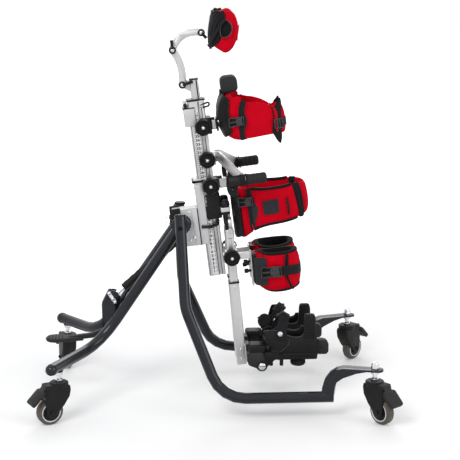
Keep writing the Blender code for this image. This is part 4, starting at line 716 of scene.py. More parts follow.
def puffed(made, pressure=3.0, cap=0.003, hold=0.0045):
    """Blow a sewn cover out between its seams with cloth, held at the hems."""
    mesh = made.data
    hems = mesh.attributes["hem"].data
    rest = [vert.co.copy() for vert in mesh.vertices]
    held = [k for k in range(len(rest)) if hems[k].value < hold or hems[k].value > 0.9]
    pins = made.vertex_groups.new(name="seams")
    pins.add(held, 1.0, "REPLACE")
    cloth = made.modifiers.new("Cover", "CLOTH")
    rules = cloth.settings
    rules.vertex_group_mass = "seams"
    rules.use_pressure = True
    rules.uniform_pressure_force = pressure
    rules.effector_weights.gravity = 0.0
    rules.tension_stiffness = rules.compression_stiffness = 12.0
    rules.bending_stiffness = 0.3
    rules.quality = 5
    cloth.point_cache.frame_start, cloth.point_cache.frame_end = 1, 20
    scene = bpy.context.scene
    for moment in range(1, 21):
        scene.frame_set(moment)
    shape = made.evaluated_get(bpy.context.evaluated_depsgraph_get())
    blown = [vert.co.copy() for vert in shape.data.vertices]
    made.modifiers.remove(cloth)
    made.vertex_groups.remove(pins)
    scene.frame_set(1)
    for vert, before, after in zip(mesh.vertices, rest, blown):
        step = after - before
        if step.length > cap:
            step *= cap / step.length
        vert.co = before + step
    mesh.update()


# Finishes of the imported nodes, with softened edges

def dress_nodes():
    """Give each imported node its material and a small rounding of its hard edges."""
    rules = (("front_leg", COAT), ("rear_leg", COAT), ("rear_brace", COAT), ("tilt_pedal", PEDAL),
             ("caster_wheel", TREAD), ("caster_hood", BLACK), ("brake_pedal", PEDAL),
             ("spring_rod", CHROME), ("spring_sleeve", BLACK), ("tilt_carriage", CAST),
             ("mast_rail", RAIL), ("head_post", RAIL), ("head_link", BAR), ("head_clamp", CAST),
             ("headrest_shell", SHELL), ("chest_carriage", BLACK), ("pelvis_carriage", BLACK),
             ("leg_carriage", BLACK), ("chest_arm", BAR), ("pelvis_arm", BAR),
             ("chest_shell", SHELL), ("pelvis_shell", SHELL), ("chest_knob", BLACK),
             ("pelvis_knob", BLACK), ("handle_knob", BLACK), ("knee_knob", BLACK),
             ("handle_frame", BAR), ("handle_grip", GRIP), ("leg_lever", SATIN),
             ("leg_post", TUBE), ("leg_sleeve_near", SLEEVE["near"]),
             ("leg_sleeve_far", SLEEVE["far"]), ("knee_arm", TUBE), ("sandal", BLACK))
    for name, node in NODE.items():
        for start, finish in rules:
            if name.startswith(start):
                node.data.materials.clear()
                node.data.materials.append(finish)
        joined = node.modifiers.new("Joined", "WELD")
        joined.merge_threshold = 0.00002
        eased = node.modifiers.new("Eased", "BEVEL")
        eased.width, eased.segments = 0.0007, 2
        eased.limit_method, eased.angle_limit = "ANGLE", math.radians(32)
        eased.use_clamp_overlap = True
        for face in node.data.polygons:
            face.use_smooth = True


dress_nodes()


# Headrest

def rest_edge(turn):
    """Half height of the head pad at an angle, falling away at the tips of the wings."""
    reach = 1 - abs(math.cos(turn)) ** 0.77
    nose = max(0.0, (reach - 0.45) / 0.58)
    return 0.062 * (0.8 + 0.45 * min(reach, 0.45)) * math.sqrt(max(0.06, 1 - nose ** 2))


def headrest():
    """Padded back cover and front pad with their edging, side loops, keepers and knobs."""
    middle = 0.014

    def base(t):
        return middle - rest_edge(t)

    def top(t):
        return middle + rest_edge(t)

    pad = quilt(HEAD, (89, 271), base, top, lambda t: 0.027 + 0.008 * math.cos(t - math.pi), 0.0,
                0.0048, (88, 40), ((98, 2.4, 0.0036, 0), (262, 2.4, 0.0036, 0)), 0.0012, 1, 1.1)
    fitted("headrest_pad", pad, RED, "headrest", 60, 1, ("headrest_cushion",), (3.0, 0.0022))
    edge = course((0.0, 208), (0.1, 222), (0.22, 235), (0.45, 244), (0.75, 247), (1.0, 240))
    ridges = tuple((a, 2.4, 0.0036, 84) for a in range(60, 304, 14))
    cover = quilt(HEAD, (lambda h: 360 - edge(h), edge), lambda t: base(t) - 0.0012,
                  lambda t: top(t) + 0.0012, lambda t: 0.008 + 0.009 * abs(math.cos(t)) ** 1.2,
                  lambda t: 0.0118 - 0.0045 * math.exp(-((math.degrees(t) - 180) / 20) ** 2),
                  0.0022, (128, 44), ridges, 0.0009, 5, 1.6)
    fitted("headrest_cover", cover, COVER, "headrest", 60, 1, ("headrest_shell",), None)
    edging = []
    for sign in (-1, 1):
        half = 44 if sign > 0 else 20
        marks = [(a, middle + sign * (rest_edge(math.radians(a)) + 0.0008), 0.004)
                 for a in range(180 - half, 181 + half, 4)]
        edging.append(taped(HEAD, marks, 0.0034, 0.0075, 3, 0.8))
    fitted("headrest_edging", gathered(*edging), TAPE, "headrest", 50)
    for name, side in SIDES.items():
        loop = [(243, 0.045, 0.0165), (250, 0.05, 0.0155), (258, 0.042, 0.0125),
                (262, 0.025, 0.0105), (259, 0.008, 0.0115), (251, -0.001, 0.014),
                (243, 0.002, 0.016), (240, 0.022, 0.017), (243, 0.045, 0.0165)]
        points, ups = track(HEAD, loop, 5)
        ring = ribbon(points[:-1], ups[:-1], 0.0034, 0.0034, 10, 1.0, True)
        patch = quilt(HEAD, (course((0, 238), (0.3, 236), (0.8, 238), (1, 244)),
                             course((0, 251), (0.25, 258), (0.55, 261), (0.8, 258), (1, 250))),
                      lambda t: -0.003, lambda t: 0.047, lambda t: 0.0075, 0.0105, 0.0016, (24, 24),
                      (), 0.0005, 9, 1.0)
        bar = taped(HEAD, [(216, -0.022, 0.015), (226, -0.004, 0.0185), (235, 0.018, 0.0195),
                           (243, 0.04, 0.019), (249, 0.052, 0.016)],
                    0.009, 0.0046, 6)
        knobs = []
        for degrees, z, way in ((212, middle + rest_edge(math.radians(212)), 1),
                                (198, middle - rest_edge(math.radians(198)), -1)):
            spot = skin(HEAD, math.radians(degrees), z, 0.002)
            knobs.append(shifted(turned([(0.0, 0.0072), (0.0028, 0.0066), (0.0044, 0.0044),
                                         (0.004, 0.0018), (0.003, -0.002), (0.0, -0.002)], 20),
                                 spot, (0, 0, way)))
        for part, bm, finish in (("ring", ring, CLIP), ("patch", patch, TAPE),
                                 ("keeper", bar, WEBBING), ("knobs", gathered(*knobs), SATIN)):
            fitted(f"headrest_{part}_{name}", sided(bm, side), finish, "headrest", 50)


headrest()


# Chest support, with the heights of its side straps and of its front webbing

STRAP_Z, FRONT_WEB_Z = 0.297, 0.272


def chest_low(turn):
    """Lower edge of the chest support."""
    return blend(turn, 0.243, 0.24, 0.238)


def chest_top(turn):
    """Rim of the chest wrap: high at the back, falling to the front closure."""
    return blend(turn, 0.378, 0.352, 0.33)


def wall(turn):
    """Thickness of the chest support's shell."""
    return blend(turn, 0.032, 0.0125, 0.0145)


def chest():
    """Back cushion, side panels, front closure with its leaves, and straps with their buckles."""
    crest = course((100, 0.016), (122, 0.012), (140, 0.0), (220, 0.0), (238, 0.012), (260, 0.016))
    back = quilt(CHEST, (109, 251), chest_low,
                 lambda t: chest_top(t) + crest(math.degrees(t)), wall, 0.0, 0.002, (80, 40),
                 ((140, 2.5, 0.0015, 0), (220, 2.5, 0.0015, 0)), 0.001, 11, 0.7)
    fitted("chest_cushion", back, RED, "chest_support", 60, 1, ("chest_belt",), (3.0, 0.0016))
    for name, side in SIDES.items():
        start, end = (0.0, -0.0185) if side < 0 else (0.007, -0.02)
        fall = course((255, start), (305, end))
        panel = quilt(CHEST, (course((0, 247), (0.5, 253), (1, 256)), 305), chest_low,
                      lambda t: chest_top(t) + fall(math.degrees(t)), lambda t: 0.0115, 0.0,
                      0.0034, (72, 40), (), 0.002, 17 + side, 1.0)
        roll = taped(CHEST, [(307.0, 0.244, 0.001), (308.5, 0.256, 0.0046),
                             (309.5, 0.285, 0.0056), (309.5, 0.298, 0.0056),
                             (308.5, 0.311, 0.0046), (306.5, 0.318, 0.001)],
                     lambda s: 0.006 + 0.0085 * math.sin(math.pi * s) ** 0.5, 0.009, 8, 0.9, 16)
        drop = course((309, -0.02), (322, -0.012), (335, -0.009), (360, -0.012))
        swell = course((309, 0.0), (322, 0.0), (336, 0.003), (348, 0.003), (360, 0.0026))
        front = quilt(CHEST, (309.5, 359.2), chest_low,
                      lambda t: chest_top(t) + drop(math.degrees(t)), lambda t: 0.0125,
                      lambda t: swell(math.degrees(t)), 0.003, (56, 36),
                      (), 0.0014, 23 + side, 1.3)
        column = taped(CHEST, [(245.5, 0.24, 0.0014), (247.5, 0.252, 0.0034),
                               (251.5, 0.27, 0.005), (256.5, 0.288, 0.0062),
                               (258.0, 0.3, 0.0062), (257.0, 0.318, 0.0052),
                               (257.5, 0.336, 0.004), (259.5, 0.3545, 0.0014)],
                       lambda s: 0.017 + 0.01 * math.exp(-((s - 0.5) / 0.22) ** 2), 0.005,
                       7, 0.45, 16)
        lifts = ((226, 0.008), (236, 0.0084), (245, 0.0086), (253, 0.0094), (259, 0.0066),
                 (262, 0.0036))
        strap = taped(CHEST, [(a, STRAP_Z, out) for a, out in lifts], 0.0245, 0.0018, 6, 0.3)
        leaf = quilt(CHEST, (course((0, 307), (0.08, 300), (0.3, 294), (0.5, 302), (0.75, 304),
                                    (0.9, 313), (1, 326)),
                             course((0, 311), (0.1, 317), (0.3, 321), (0.5, 322), (0.75, 329),
                                    (0.9, 332), (1, 330))),
                     lambda t: 0.209, lambda t: 0.345, lambda t: 0.0055, 0.0076, 0.0012, (28, 44),
                     (), 0.0012, 29 + side, 1.0)
        slit = taped(CHEST, [(303.5, 0.324, 0.002), (304.6, 0.3, 0.0052), (304.4, 0.262, 0.0048),
                             (303.5, 0.25, 0.0022)], 0.004, 0.004, 8, 0.8)
        for part, bm, finish, level, soft in (
                ("panel", panel, RED, 1, (3.2, 0.0028)), ("front", front, RED, 1, (3.2, 0.0022)),
                ("column", column, WEBBING, 0, None), ("strap", strap, WEBBING, 0, None),
                ("leaf", leaf, COVER, 1, None), ("slit", slit, SATIN, 0, None),
                ("roll", roll, RED, 1, None)):
            fitted(f"chest_{part}_{name}", sided(bm, side), finish, "chest_support", 60, level, (),
                   soft)
        guard = quilt(CHEST, (201, course((0, 229), (0.4, 227), (0.8, 228), (1, 222))),
                      lambda t: 0.3, lambda t: 0.3745, lambda t: 0.006, 0.0125, 0.0018, (40, 32),
                      ((214, 2.2, 0.002, 40),), 0.0012, 33 + side, 1.0)
        fitted(f"chest_guard_{name}", sided(guard, side), COVER, "chest_support", 60, 1)
        buckle = laid(release_buckle(0.044, 0.028), CHEST, 248.5, STRAP_Z, 0.0122)
        fitted(f"chest_clip_{name}", sided(buckle, side), CLIP, "chest_support",
               swaps=(f"chest_buckle_{name}",))
        screw = laid(screw_head(0.0042), CHEST, 197, 0.3, 0.0098)
        fitted(f"chest_screw_{name}", sided(screw, side), CHROME, "chest_support")
    lock = laid(ladder_lock(0.03, 0.03), CHEST, 307.5, 0.27, 0.015)
    web = taped(CHEST, [(a, FRONT_WEB_Z, out) for a, out in (
        (309, 0.007), (316, 0.01), (326, 0.0108), (340, 0.008), (360, 0.0062), (380, 0.008),
        (394, 0.0108), (404, 0.01), (411, 0.007))], 0.025, 0.002, 7, 0.3)
    fitted("chest_ladder_lock", lock, CLIP, "chest_support")
    fitted("chest_front_webbing", web, WEBBING, "chest_support", 60)
    rims = []
    for sign in (-1, 1):
        marks = [(a, (chest_top if sign > 0 else chest_low)(math.radians(a)) - sign * 0.0012,
                  -wall(math.radians(a)) / 2) for a in range(111, 252, 10)]
        rims.append(taped(CHEST, marks, 0.005, 0.0095, 3, 0.8))
    fitted("chest_cushion_piping", gathered(*rims), LINING, "chest_support", 50)
    collar = slab((0.05, 0.0775, 0.051), 0.015, 5, (0.1985, 0, 0.4035))
    for vert in collar.verts:
        flat = (vert.co.z - 0.4035) / 0.0255
        edge = abs(vert.co.y) / 0.0388
        vert.co.x += 0.0016 * (1 - flat * flat) * (1 if vert.co.x > 0.199 else -1)
        vert.co.z -= 0.0015 * (1 - edge * edge) * (1 if flat > 0 else 0)
    fitted("collar_pad", collar, GREY, "chest_support", 80, 1)


def screw_head(radius):
    """Pan head of a screw, on the plane Z = 0."""
    return turned([(0.0, radius * 0.55), (radius * 0.45, radius * 0.52),
                   (radius * 0.8, radius * 0.38), (radius, radius * 0.12), (radius, -0.0006),
                   (0.0, -0.0006)], 24)


def release_buckle(length, wide):
    """Side-release buckle: fork with two spring prongs, housing and a bar for the webbing."""
    half, deep = wide / 2, 0.0068
    housing = slab((length * 0.4, wide, deep), 0.0022, 3, (length * 0.2, 0, 0))
    waist = slab((length * 0.18, wide * 0.62, deep * 1.1), 0.0016, 2, (length * 0.02, 0, 0))
    rib = slab((length * 0.05, wide * 0.86, deep * 1.18), 0.0008, 2, (length * 0.31, 0, 0))
    bar = slab((0.003, wide * 1.02, deep * 0.8), 0.0012, 2, (length * 0.48, 0, 0.0004))
    joins = [slab((length * 0.14, 0.0032, deep * 0.7), 0.001, 2,
                  (length * 0.42, s * half * 0.84, 0)) for s in (-1, 1)]
    prongs = []
    for s in (-1, 1):
        line = smooth_line([(length * x, s * half * y, 0) for x, y in
                            ((-0.52, 0.86), (-0.36, 0.98), (-0.16, 0.8), (0.0, 0.9))], 5)
        prongs.append(ribbon(line, Vector((0, 0, 1)), 0.003, deep * 0.72, 10, 0.5))
    tail = slab((0.0032, wide * 0.92, deep * 0.8), 0.0012, 2, (-length * 0.52, 0, 0))
    spine = slab((length * 0.4, wide * 0.16, deep * 0.55), 0.0008, 2, (-length * 0.26, 0, 0))
    return gathered(housing, waist, rib, bar, tail, spine, *joins, *prongs)


def ladder_lock(length, wide):
    """Open frame with three bars that the webbing laces through."""
    rails = [slab((length, 0.0036, 0.0052), 0.0014, 3, (0, s * (wide / 2 - 0.0018), 0))
             for s in (-1, 1)]
    bars = [slab((0.0042, wide - 0.004, 0.0046), 0.0014, 3, (x * length, 0, z))
            for x, z in ((-0.44, 0.0), (-0.12, 0.0012), (0.14, 0.0008), (0.44, 0.0))]
    lip = slab((0.0024, wide, 0.0068), 0.001, 2, (length * 0.52, 0, 0.001))
    return gathered(*rails, *bars, lip)


chest()


# Pelvic support

def pelvis_low(turn):
    """Lower edge of the pelvic support."""
    return blend(turn, -0.069, -0.029, -0.013)


def pelvis_top(turn):
    """Rim of the pelvic wrap, which hangs a little between the buckle and the fold."""
    dip = 0.01 * math.sin(math.pi * min(1.0, max(0.0, (math.degrees(turn) % 360 - 245) / 65)))
    if math.degrees(turn) % 360 < 180:
        dip = 0.01 * math.sin(math.pi * min(1.0, max(0.0, (115 - math.degrees(turn) % 360) / 65)))
    return blend(turn, 0.088, 0.093, 0.082) - dip


def pelvis():
    """Back cushion, side panels with patch and slit, folded ends, front bulge and straps."""
    back = quilt(PELVIS, (124, 236), pelvis_low, pelvis_top, wall, 0.0, 0.002, (72, 44),
                 ((150, 2.5, 0.0015, 0), (210, 2.5, 0.0015, 0)), 0.001, 31, 0.7)
    fitted("pelvis_cushion", back, RED, "pelvis_support", 60, 1, ("pelvis_belt",),
           (3.0, 0.0016))
    for name, side in SIDES.items():
        panel = quilt(PELVIS, (239.5, course((0, 311), (1, 302.5))), pelvis_low, pelvis_top,
                      lambda t: 0.011, 0.0, 0.0034, (96, 40),
                      ((256, 1.6, 0.0014, 0), (290, 3.0, 0.0012, -4)), 0.002, 37 + side, 1.0)
        fold = quilt(PELVIS, (course((0, 311.5), (1, 303)), course((0, 326), (1, 319))),
                     lambda t: -0.024, lambda t: 0.086, lambda t: 0.013, 0.003, 0.0028, (28, 40),
                     ((316, 1.8, 0.0034, -7),), 0.0018, 41 + side, 1.6)
        bulge = quilt(PELVIS, (course((0, 326), (1, 320)), 359.4), pelvis_low,
                      lambda t: pelvis_top(t) - 0.002, lambda t: 0.0135, 0.0, 0.0048, (56, 36), (),
                      0.0018, 43 + side, 1.4)
        for part, bm, finish, soft in (("panel", panel, RED, (3.2, 0.003)),
                                       ("fold", fold, COVER, None),
                                       ("bulge", bulge, RED, (3.2, 0.0024))):
            fitted(f"pelvis_{part}_{name}", sided(bm, side), finish, "pelvis_support", 60, 1, (),
                   soft)
        rims = []
        for edge, lift in ((pelvis_top, -0.0022), (pelvis_low, 0.0022)):
            last = 303 if edge is pelvis_top else 311
            marks = [(a, edge(math.radians(a)) + lift, -0.0052) for a in range(240, last, 6)]
            rims.append(taped(PELVIS, marks, 0.0088, 0.0124, 3, 0.6))
        moon = quilt(PELVIS, (244, course((0, 246), (0.2, 250.5), (0.5, 253.5), (0.8, 251.5),
                                          (1, 246))),
                     lambda t: -0.014, lambda t: 0.057, lambda t: 0.0036, 0.0078, 0.0012, (20, 30),
                     (), 0.0006, 47 + side, 1.0)
        patch = taped(PELVIS, [(260.5, 0.026, 0.0068), (264, 0.0262, 0.0074), (269, 0.0262, 0.0076),
                               (275.0, 0.026, 0.007)], 0.043, 0.0016, 6, 0.3, 16)
        slit = taped(PELVIS, [(286.6, 0.046, 0.0056), (287.6, 0.02, 0.008), (287.0, -0.006, 0.006)],
                     lambda s: 0.0012 + 0.005 * math.sin(math.pi * s), 0.004, 9, 0.7)
        lips = [taped(PELVIS, [(a, 0.048, 0.0036), (a + d, 0.02, 0.006), (a, -0.008, 0.0036)],
                      0.004, 0.0034, 9, 1.0) for a, d in ((284.8, 0.8), (290.2, 0.4))]
        straps = [quilt(PELVIS, (236.0, 245.6), lambda t: -0.036, lambda t: 0.093,
                        lambda t: 0.0034, 0.0062, 0.0014, (16, 40), (), 0.0008, 53 + side, 1.0),
                  taped(PELVIS, [(219, 0.053, 0.01), (228, 0.053, 0.01), (237, 0.053, 0.0094),
                                 (244, 0.053, 0.009), (249, 0.052, 0.008)], 0.024, 0.002, 6, 0.3)]
        corner = taped(PELVIS, [(237.5, -0.02, 0.0034), (240.0, -0.03, 0.004),
                                (243.0, -0.036, 0.0034)], lambda s: 0.014 * (1 - 0.8 * s) + 0.001,
                       0.0024, 6, 0.7)
        clip = laid(release_buckle(0.042, 0.028), PELVIS, 236, 0.054, 0.013)
        for part, bm, finish, swaps in (
                ("binding", gathered(*rims), TAPE, ()), ("half_moon", moon, GREY, ()),
                ("bare_patch", patch, GREY, ()), ("slit", slit, SATIN, ()),
                ("slit_edges", gathered(*lips), LINING, ()),
                ("straps", gathered(*straps), WEBBING, ()), ("corner_tab", corner, LINING, ()),
                ("clip", clip, CLIP, (f"pelvis_buckle_{name}",))):
            fitted(f"pelvis_{part}_{name}", sided(bm, side), finish, "pelvis_support", 50, 0, swaps)
    rims = []
    for edge, sign in ((pelvis_top, -1), (pelvis_low, 1)):
        marks = [(a, edge(math.radians(a)) + sign * 0.0012, -wall(math.radians(a)) / 2)
                 for a in range(126, 235, 9)]
        rims.append(taped(PELVIS, marks, 0.005, 0.0095, 3, 0.8))
    fitted("pelvis_cushion_piping", gathered(*rims), LINING, "pelvis_support", 50)


pelvis()


# Knee supports

def knee_low(turn):
    """Lower edge of a knee support."""
    return blend(turn, -0.091, -0.11, -0.099)


def knee_top(turn):
    """Upper edge of a knee support."""
    return blend(turn, 0.011, 0.005, 0.009) - 0.0035 * math.sin(turn)


def knee_wall(turn):
    """Thickness of a knee support's cup."""
    return blend(turn, 0.021, 0.0135, 0.0135)


def knees():
    """Cuff, lining, bindings, panel, band and buckle round each knee, on a back plate."""
    for name, side in SIDES.items():
        oval, body = KNEE, f"knee_support_{name}"
        cuff = quilt(oval, (180, 540), knee_low, knee_top, knee_wall, 0.0, 0.0062, (120, 44),
                     ((284, 2.6, 0.003, -6), (436, 2.6, 0.003, 6), (232, 3.0, 0.003, 0),
                      (488, 3.0, 0.003, 0)), 0.0026, 51 + side)
        rims = []
        for edge, lift in ((knee_top, -0.002), (knee_low, 0.002)):
            marks = [(a, edge(math.radians(a)) + lift, -knee_wall(math.radians(a)) / 2
                      - 0.005 * max(0.0, -math.cos(math.radians(a)))) for a in range(180, 541, 10)]
            points, ups = track(oval, marks, 3)
            rims.append(ribbon(points[:-1], ups[:-1], 0.0078, 0.015, 12, 0.6, True))
        seams = [taped(oval, [(290, 0.004, 0.0044), (287.0, -0.012, 0.0066),
                              (285.5, -0.03, 0.0066)], 0.0115, 0.0036, 8, 0.6),
                 taped(oval, [(283, -0.058, 0.0066), (287, -0.078, 0.0068), (294, -0.098, 0.0054),
                              (301, -0.106, 0.0036)], 0.0072, 0.0034, 8, 0.6)]
        panel = taped(oval, [(199, -0.044, 0.0056), (209, -0.044, 0.007), (222, -0.0435, 0.0076),
                             (238, -0.043, 0.0076), (249, -0.043, 0.0066)], 0.088, 0.0036, 7, 0.28,
                      20)
        band = taped(oval, [(230, -0.0435, 0.01), (252, -0.0435, 0.0112), (270, -0.044, 0.0104),
                            (290, -0.045, 0.0086), (312, -0.047, 0.0074), (334, -0.0485, 0.0062),
                            (356, -0.049, 0.0062), (378, -0.049, 0.0086), (400, -0.048, 0.0086),
                            (424, -0.0465, 0.0086), (448, -0.045, 0.0084), (468, -0.044, 0.0076),
                            (486, -0.0435, 0.0056)], 0.03, 0.0024, 6, 0.3, 14)
        clip = laid(release_buckle(0.06, 0.034), oval, 260, -0.0435, 0.0158)
        fitted(f"knee_cuff_{name}", sided(cuff, side), RED, body, 60, 1, (f"knee_pad_{name}",),
               (3.2, 0.0028))
        for part, bm, finish in (("binding", gathered(*rims, *seams), TAPE), ("panel", panel, GREY),
                                 ("band", band, WEBBING), ("clip", clip, CLIP)):
            fitted(f"knee_{part}_{name}", sided(bm, side), finish, body, 60)
        lining = quilt(oval, (180, 540), lambda t: knee_low(t) + 0.003,
                       lambda t: knee_top(t) - 0.002, lambda t: 0.004,
                       lambda t: -knee_wall(t) + 0.0012, 0.0002, (96, 24), (), 0.0006, 61)
        fitted(f"knee_lining_{name}", sided(lining, side), COVER, body, 60)
        back = slab((0.018, 0.062, 0.092), 0.003, 3, (0.07, side * KNEE_ACROSS, -0.0395))
        fitted(f"knee_back_plate_{name}", back, SHELL, body)


knees()


# Hardware

def knob_faces():
    """Bright nut and raised rings on each clamp knob's face."""
    places = [(body, node, JOINT[joint]["pos_m"], -1) for body, node, joint in (
        ("chest_clamp_knob", "chest_knob", "chest_knob"),
        ("handle_clamp_knob", "handle_knob", "handle_knob"),
        ("pelvis_clamp_knob", "pelvis_knob", "pelvis_knob"),
        ("knee_clamp_knob_near", "knee_knob_near", "knee_knob_near"))]
    places.append(("knee_clamp_knob_far", "knee_knob_far", JOINT["knee_knob_far"]["pos_m"], 1))
    for body, node, spot, way in places:
        low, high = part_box(node)
        face = low.y if way < 0 else high.y
        at = Vector((spot[0], face, spot[2]))
        bright = shifted(nut(0.0105, 0.003, 0.0022), at + Vector((0, -way * 0.0004, 0)),
                         (0, way, 0))
        fitted(f"{node}_nut", bright, CHROME, body)
        ring = turned([(0.015, -0.003), (0.015, -0.0006), (0.0158, 0.0002), (0.0172, 0.0002),
                       (0.018, -0.0006), (0.018, -0.003)], 40, True)
        rim = turned([(0.0212, -0.0012), (0.0212, 0.0004), (0.0222, 0.001), (0.0234, 0.0006),
                      (0.0236, -0.0012)], 48, True)
        both = shifted(gathered(ring, rim), at, (0, way, 0))
        fitted(f"{node}_rings", both, SATIN, body)


def mast_scale():
    """Pale film with plain numbers and ticks on the mast's near face, and dark lines that paint the
    shade in the rail's grooves.
    """
    low, high, step = MAST_LOW + 0.004, MAST_TOP - 0.022, 0.0125
    face = -MAST_HALF - 0.00016
    film = slab((0.017, 0.00016, high - low), 0.0, 0, (0.087, face + 0.0001, (low + high) / 2))
    fitted("mast_scale_film", film, FILM, "mast")
    marks = []
    for k in range(int((high - low - 0.012) / step)):
        z = low + 0.01 + k * step
        marks.append(slab((0.0052, 0.00006, 0.0017), 0.0, 0, (0.0928, face - 0.00002, z)))
        for part, wide in ((0.25, 0.0026), (0.5, 0.0036), (0.75, 0.0026)):
            marks.append(slab((wide, 0.00006, 0.001), 0.0, 0,
                              (0.0954 - wide / 2, face - 0.00002, z + step * part)))
        writing = bpy.data.curves.new("number", "FONT")
        writing.body = str(k + 1)
        writing.size = 0.0122
        writing.offset = 0.0004
        writing.align_x, writing.align_y = "CENTER", "CENTER"
        writing.resolution_u = 2
        holder = bpy.data.objects.new("number", writing)
        bpy.context.scene.collection.objects.link(holder)
        bpy.context.view_layer.update()
        flat = bpy.data.meshes.new_from_object(holder.evaluated_get(
            bpy.context.evaluated_depsgraph_get()))
        digit = bmesh.new()
        digit.from_mesh(flat)
        bpy.data.objects.remove(holder)
        bpy.data.meshes.remove(flat)
        bpy.data.curves.remove(writing)
        bmesh.ops.transform(digit, matrix=Matrix.Translation((0.084, face - 0.00005, z))
                            @ Matrix.Rotation(math.pi / 2, 4, "X"), verts=digit.verts)
        marks.append(digit)
    fitted("mast_scale_print", gathered(*marks), TAR, "mast")
    # Thin dark strips on both faces: painted shade standing for the rail's grooves
    lines = [slab((wide, 0.0005, MAST_TOP - MAST_LOW - 0.006), 0.0001, 1,
                  (x, side * (MAST_HALF - 0.00017), (MAST_TOP + MAST_LOW) / 2)) for side in (-1, 1)
             for x, wide in ((0.0708, 0.0016), (0.0984, 0.0024), (0.108, 0.0016))]
    fitted("mast_edge_lines", gathered(*lines), SHADOW, "mast")


def head_hardware():
    """Black coat on the post clamp's lid, plate and lever, and rings on the link pivots."""
    bars = []
    for x, y, wx, wy in ((0.0735, 0, 0.017, 0.0466), (0.1157, 0, 0.012, 0.0466),
                         (0.0955, 0.0185, 0.03, 0.0096), (0.0955, -0.0185, 0.03, 0.0096)):
        bars.append(slab((wx, wy, 0.0054), 0.0012, 2, (x, y, MAST_TOP + 0.0029)))
    fitted("head_clamp_lid", gathered(*bars), SATIN, "mast")
    plate = slab((0.037, 0.0545, 0.003), 0.001, 2, (0.069, 0, MAST_TOP - 0.019))
    fitted("head_clamp_plate", plate, SATIN, "mast")
    screw = gathered(shifted(turned([(0.0, 0.016), (0.005, 0.016), (0.0062, 0.0145),
                                     (0.0062, 0.002), (0.005, 0.0), (0.0, 0.0)], 18),
                             (0.06, -0.0265, MAST_TOP - 0.01), (0, 1, 0)),
                     slab((0.009, 0.02, 0.011), 0.0015, 2, (0.059, 0.0, MAST_TOP - 0.01)))
    fitted("head_clamp_screw", screw, BLACK, "mast")
    z = MAST_TOP - 0.013
    y = -MAST_HALF - 0.004
    line = smooth_line([(MAST_FRONT - 0.013, y, z), (MAST_FRONT + 0.002, y, z + 0.0034),
                        (MAST_FRONT + 0.011, y, z + 0.0052), (MAST_FRONT + 0.0142, y, z),
                        (MAST_FRONT + 0.011, y, z - 0.0052), (MAST_FRONT + 0.002, y, z - 0.007),
                        (MAST_FRONT - 0.006, y, z - 0.008)], 6)
    lever = ribbon(line, Vector((0, 1, 0)), 0.0054, 0.0054, 12, 1.0)
    fitted("head_clamp_lever", lever, SATIN, "mast")
    # Black strip on the post's face that paints the shade of its groove
    groove = slab((0.004, 0.0006, 0.056), 0.0001, 1,
                  (POST_MIDDLE + 0.007, -POST_HALF + 0.0001, 0.4))
    fitted("head_post_painted_groove_shade", groove, SATIN, "head_post")
    cap = slab((0.0275, 0.0275, 0.0046), 0.0016, 3, (POST_MIDDLE, 0, MAST_TOP + 0.065))
    fitted("head_post_cap", cap, SATIN, "head_post")
    for joint, body, near in (("head_lower_link", "head_lower_link", -0.0035),
                              ("head_upper_link", "head_upper_link", -0.0038),
                              ("headrest_tilt", "head_upper_link", -0.0038)):
        at = Vector(JOINT[joint]["pos_m"])
        ring = turned([(0.0058, 0.0), (0.0058, 0.0094), (0.0068, 0.0104), (0.0098, 0.0104),
                       (0.011, 0.0094), (0.011, 0.0)], 32, True)
        core = nut(0.0098, 0.01, 0.0014)
        spot = at + Vector((0, near, 0))
        fitted(f"{joint}_ring", shifted(ring, spot, (0, -1, 0)), SATIN, body)
        fitted(f"{joint}_bolt", shifted(core, spot, (0, -1, 0)), CHROME, body)
    for label, joint, reach, body in (
            ("upper", "head_upper_link", (0.001, 0, 0.03), "head_upper_link"),
            ("outer", "headrest_tilt", (0.013, 0, -0.018), "head_upper_link"),
            ("lower", "head_lower_link", (0.031, -0.013, 0.008), "head_lower_link")):
        base = Vector(JOINT[joint]["pos_m"]) + Vector((0, -0.0105, 0))
        tip = base + MAST.to_3x3() @ Vector(reach)
        line = [base.lerp(tip, k / 8) for k in range(9)]
        arm = ribbon(line, Vector((0, 1, 0)), lambda s: 0.0078 + 0.0022 * s,
                     lambda s: 0.0074, 12, 0.8)
        fitted(f"head_lever_{label}", arm, SATIN, body, 50)


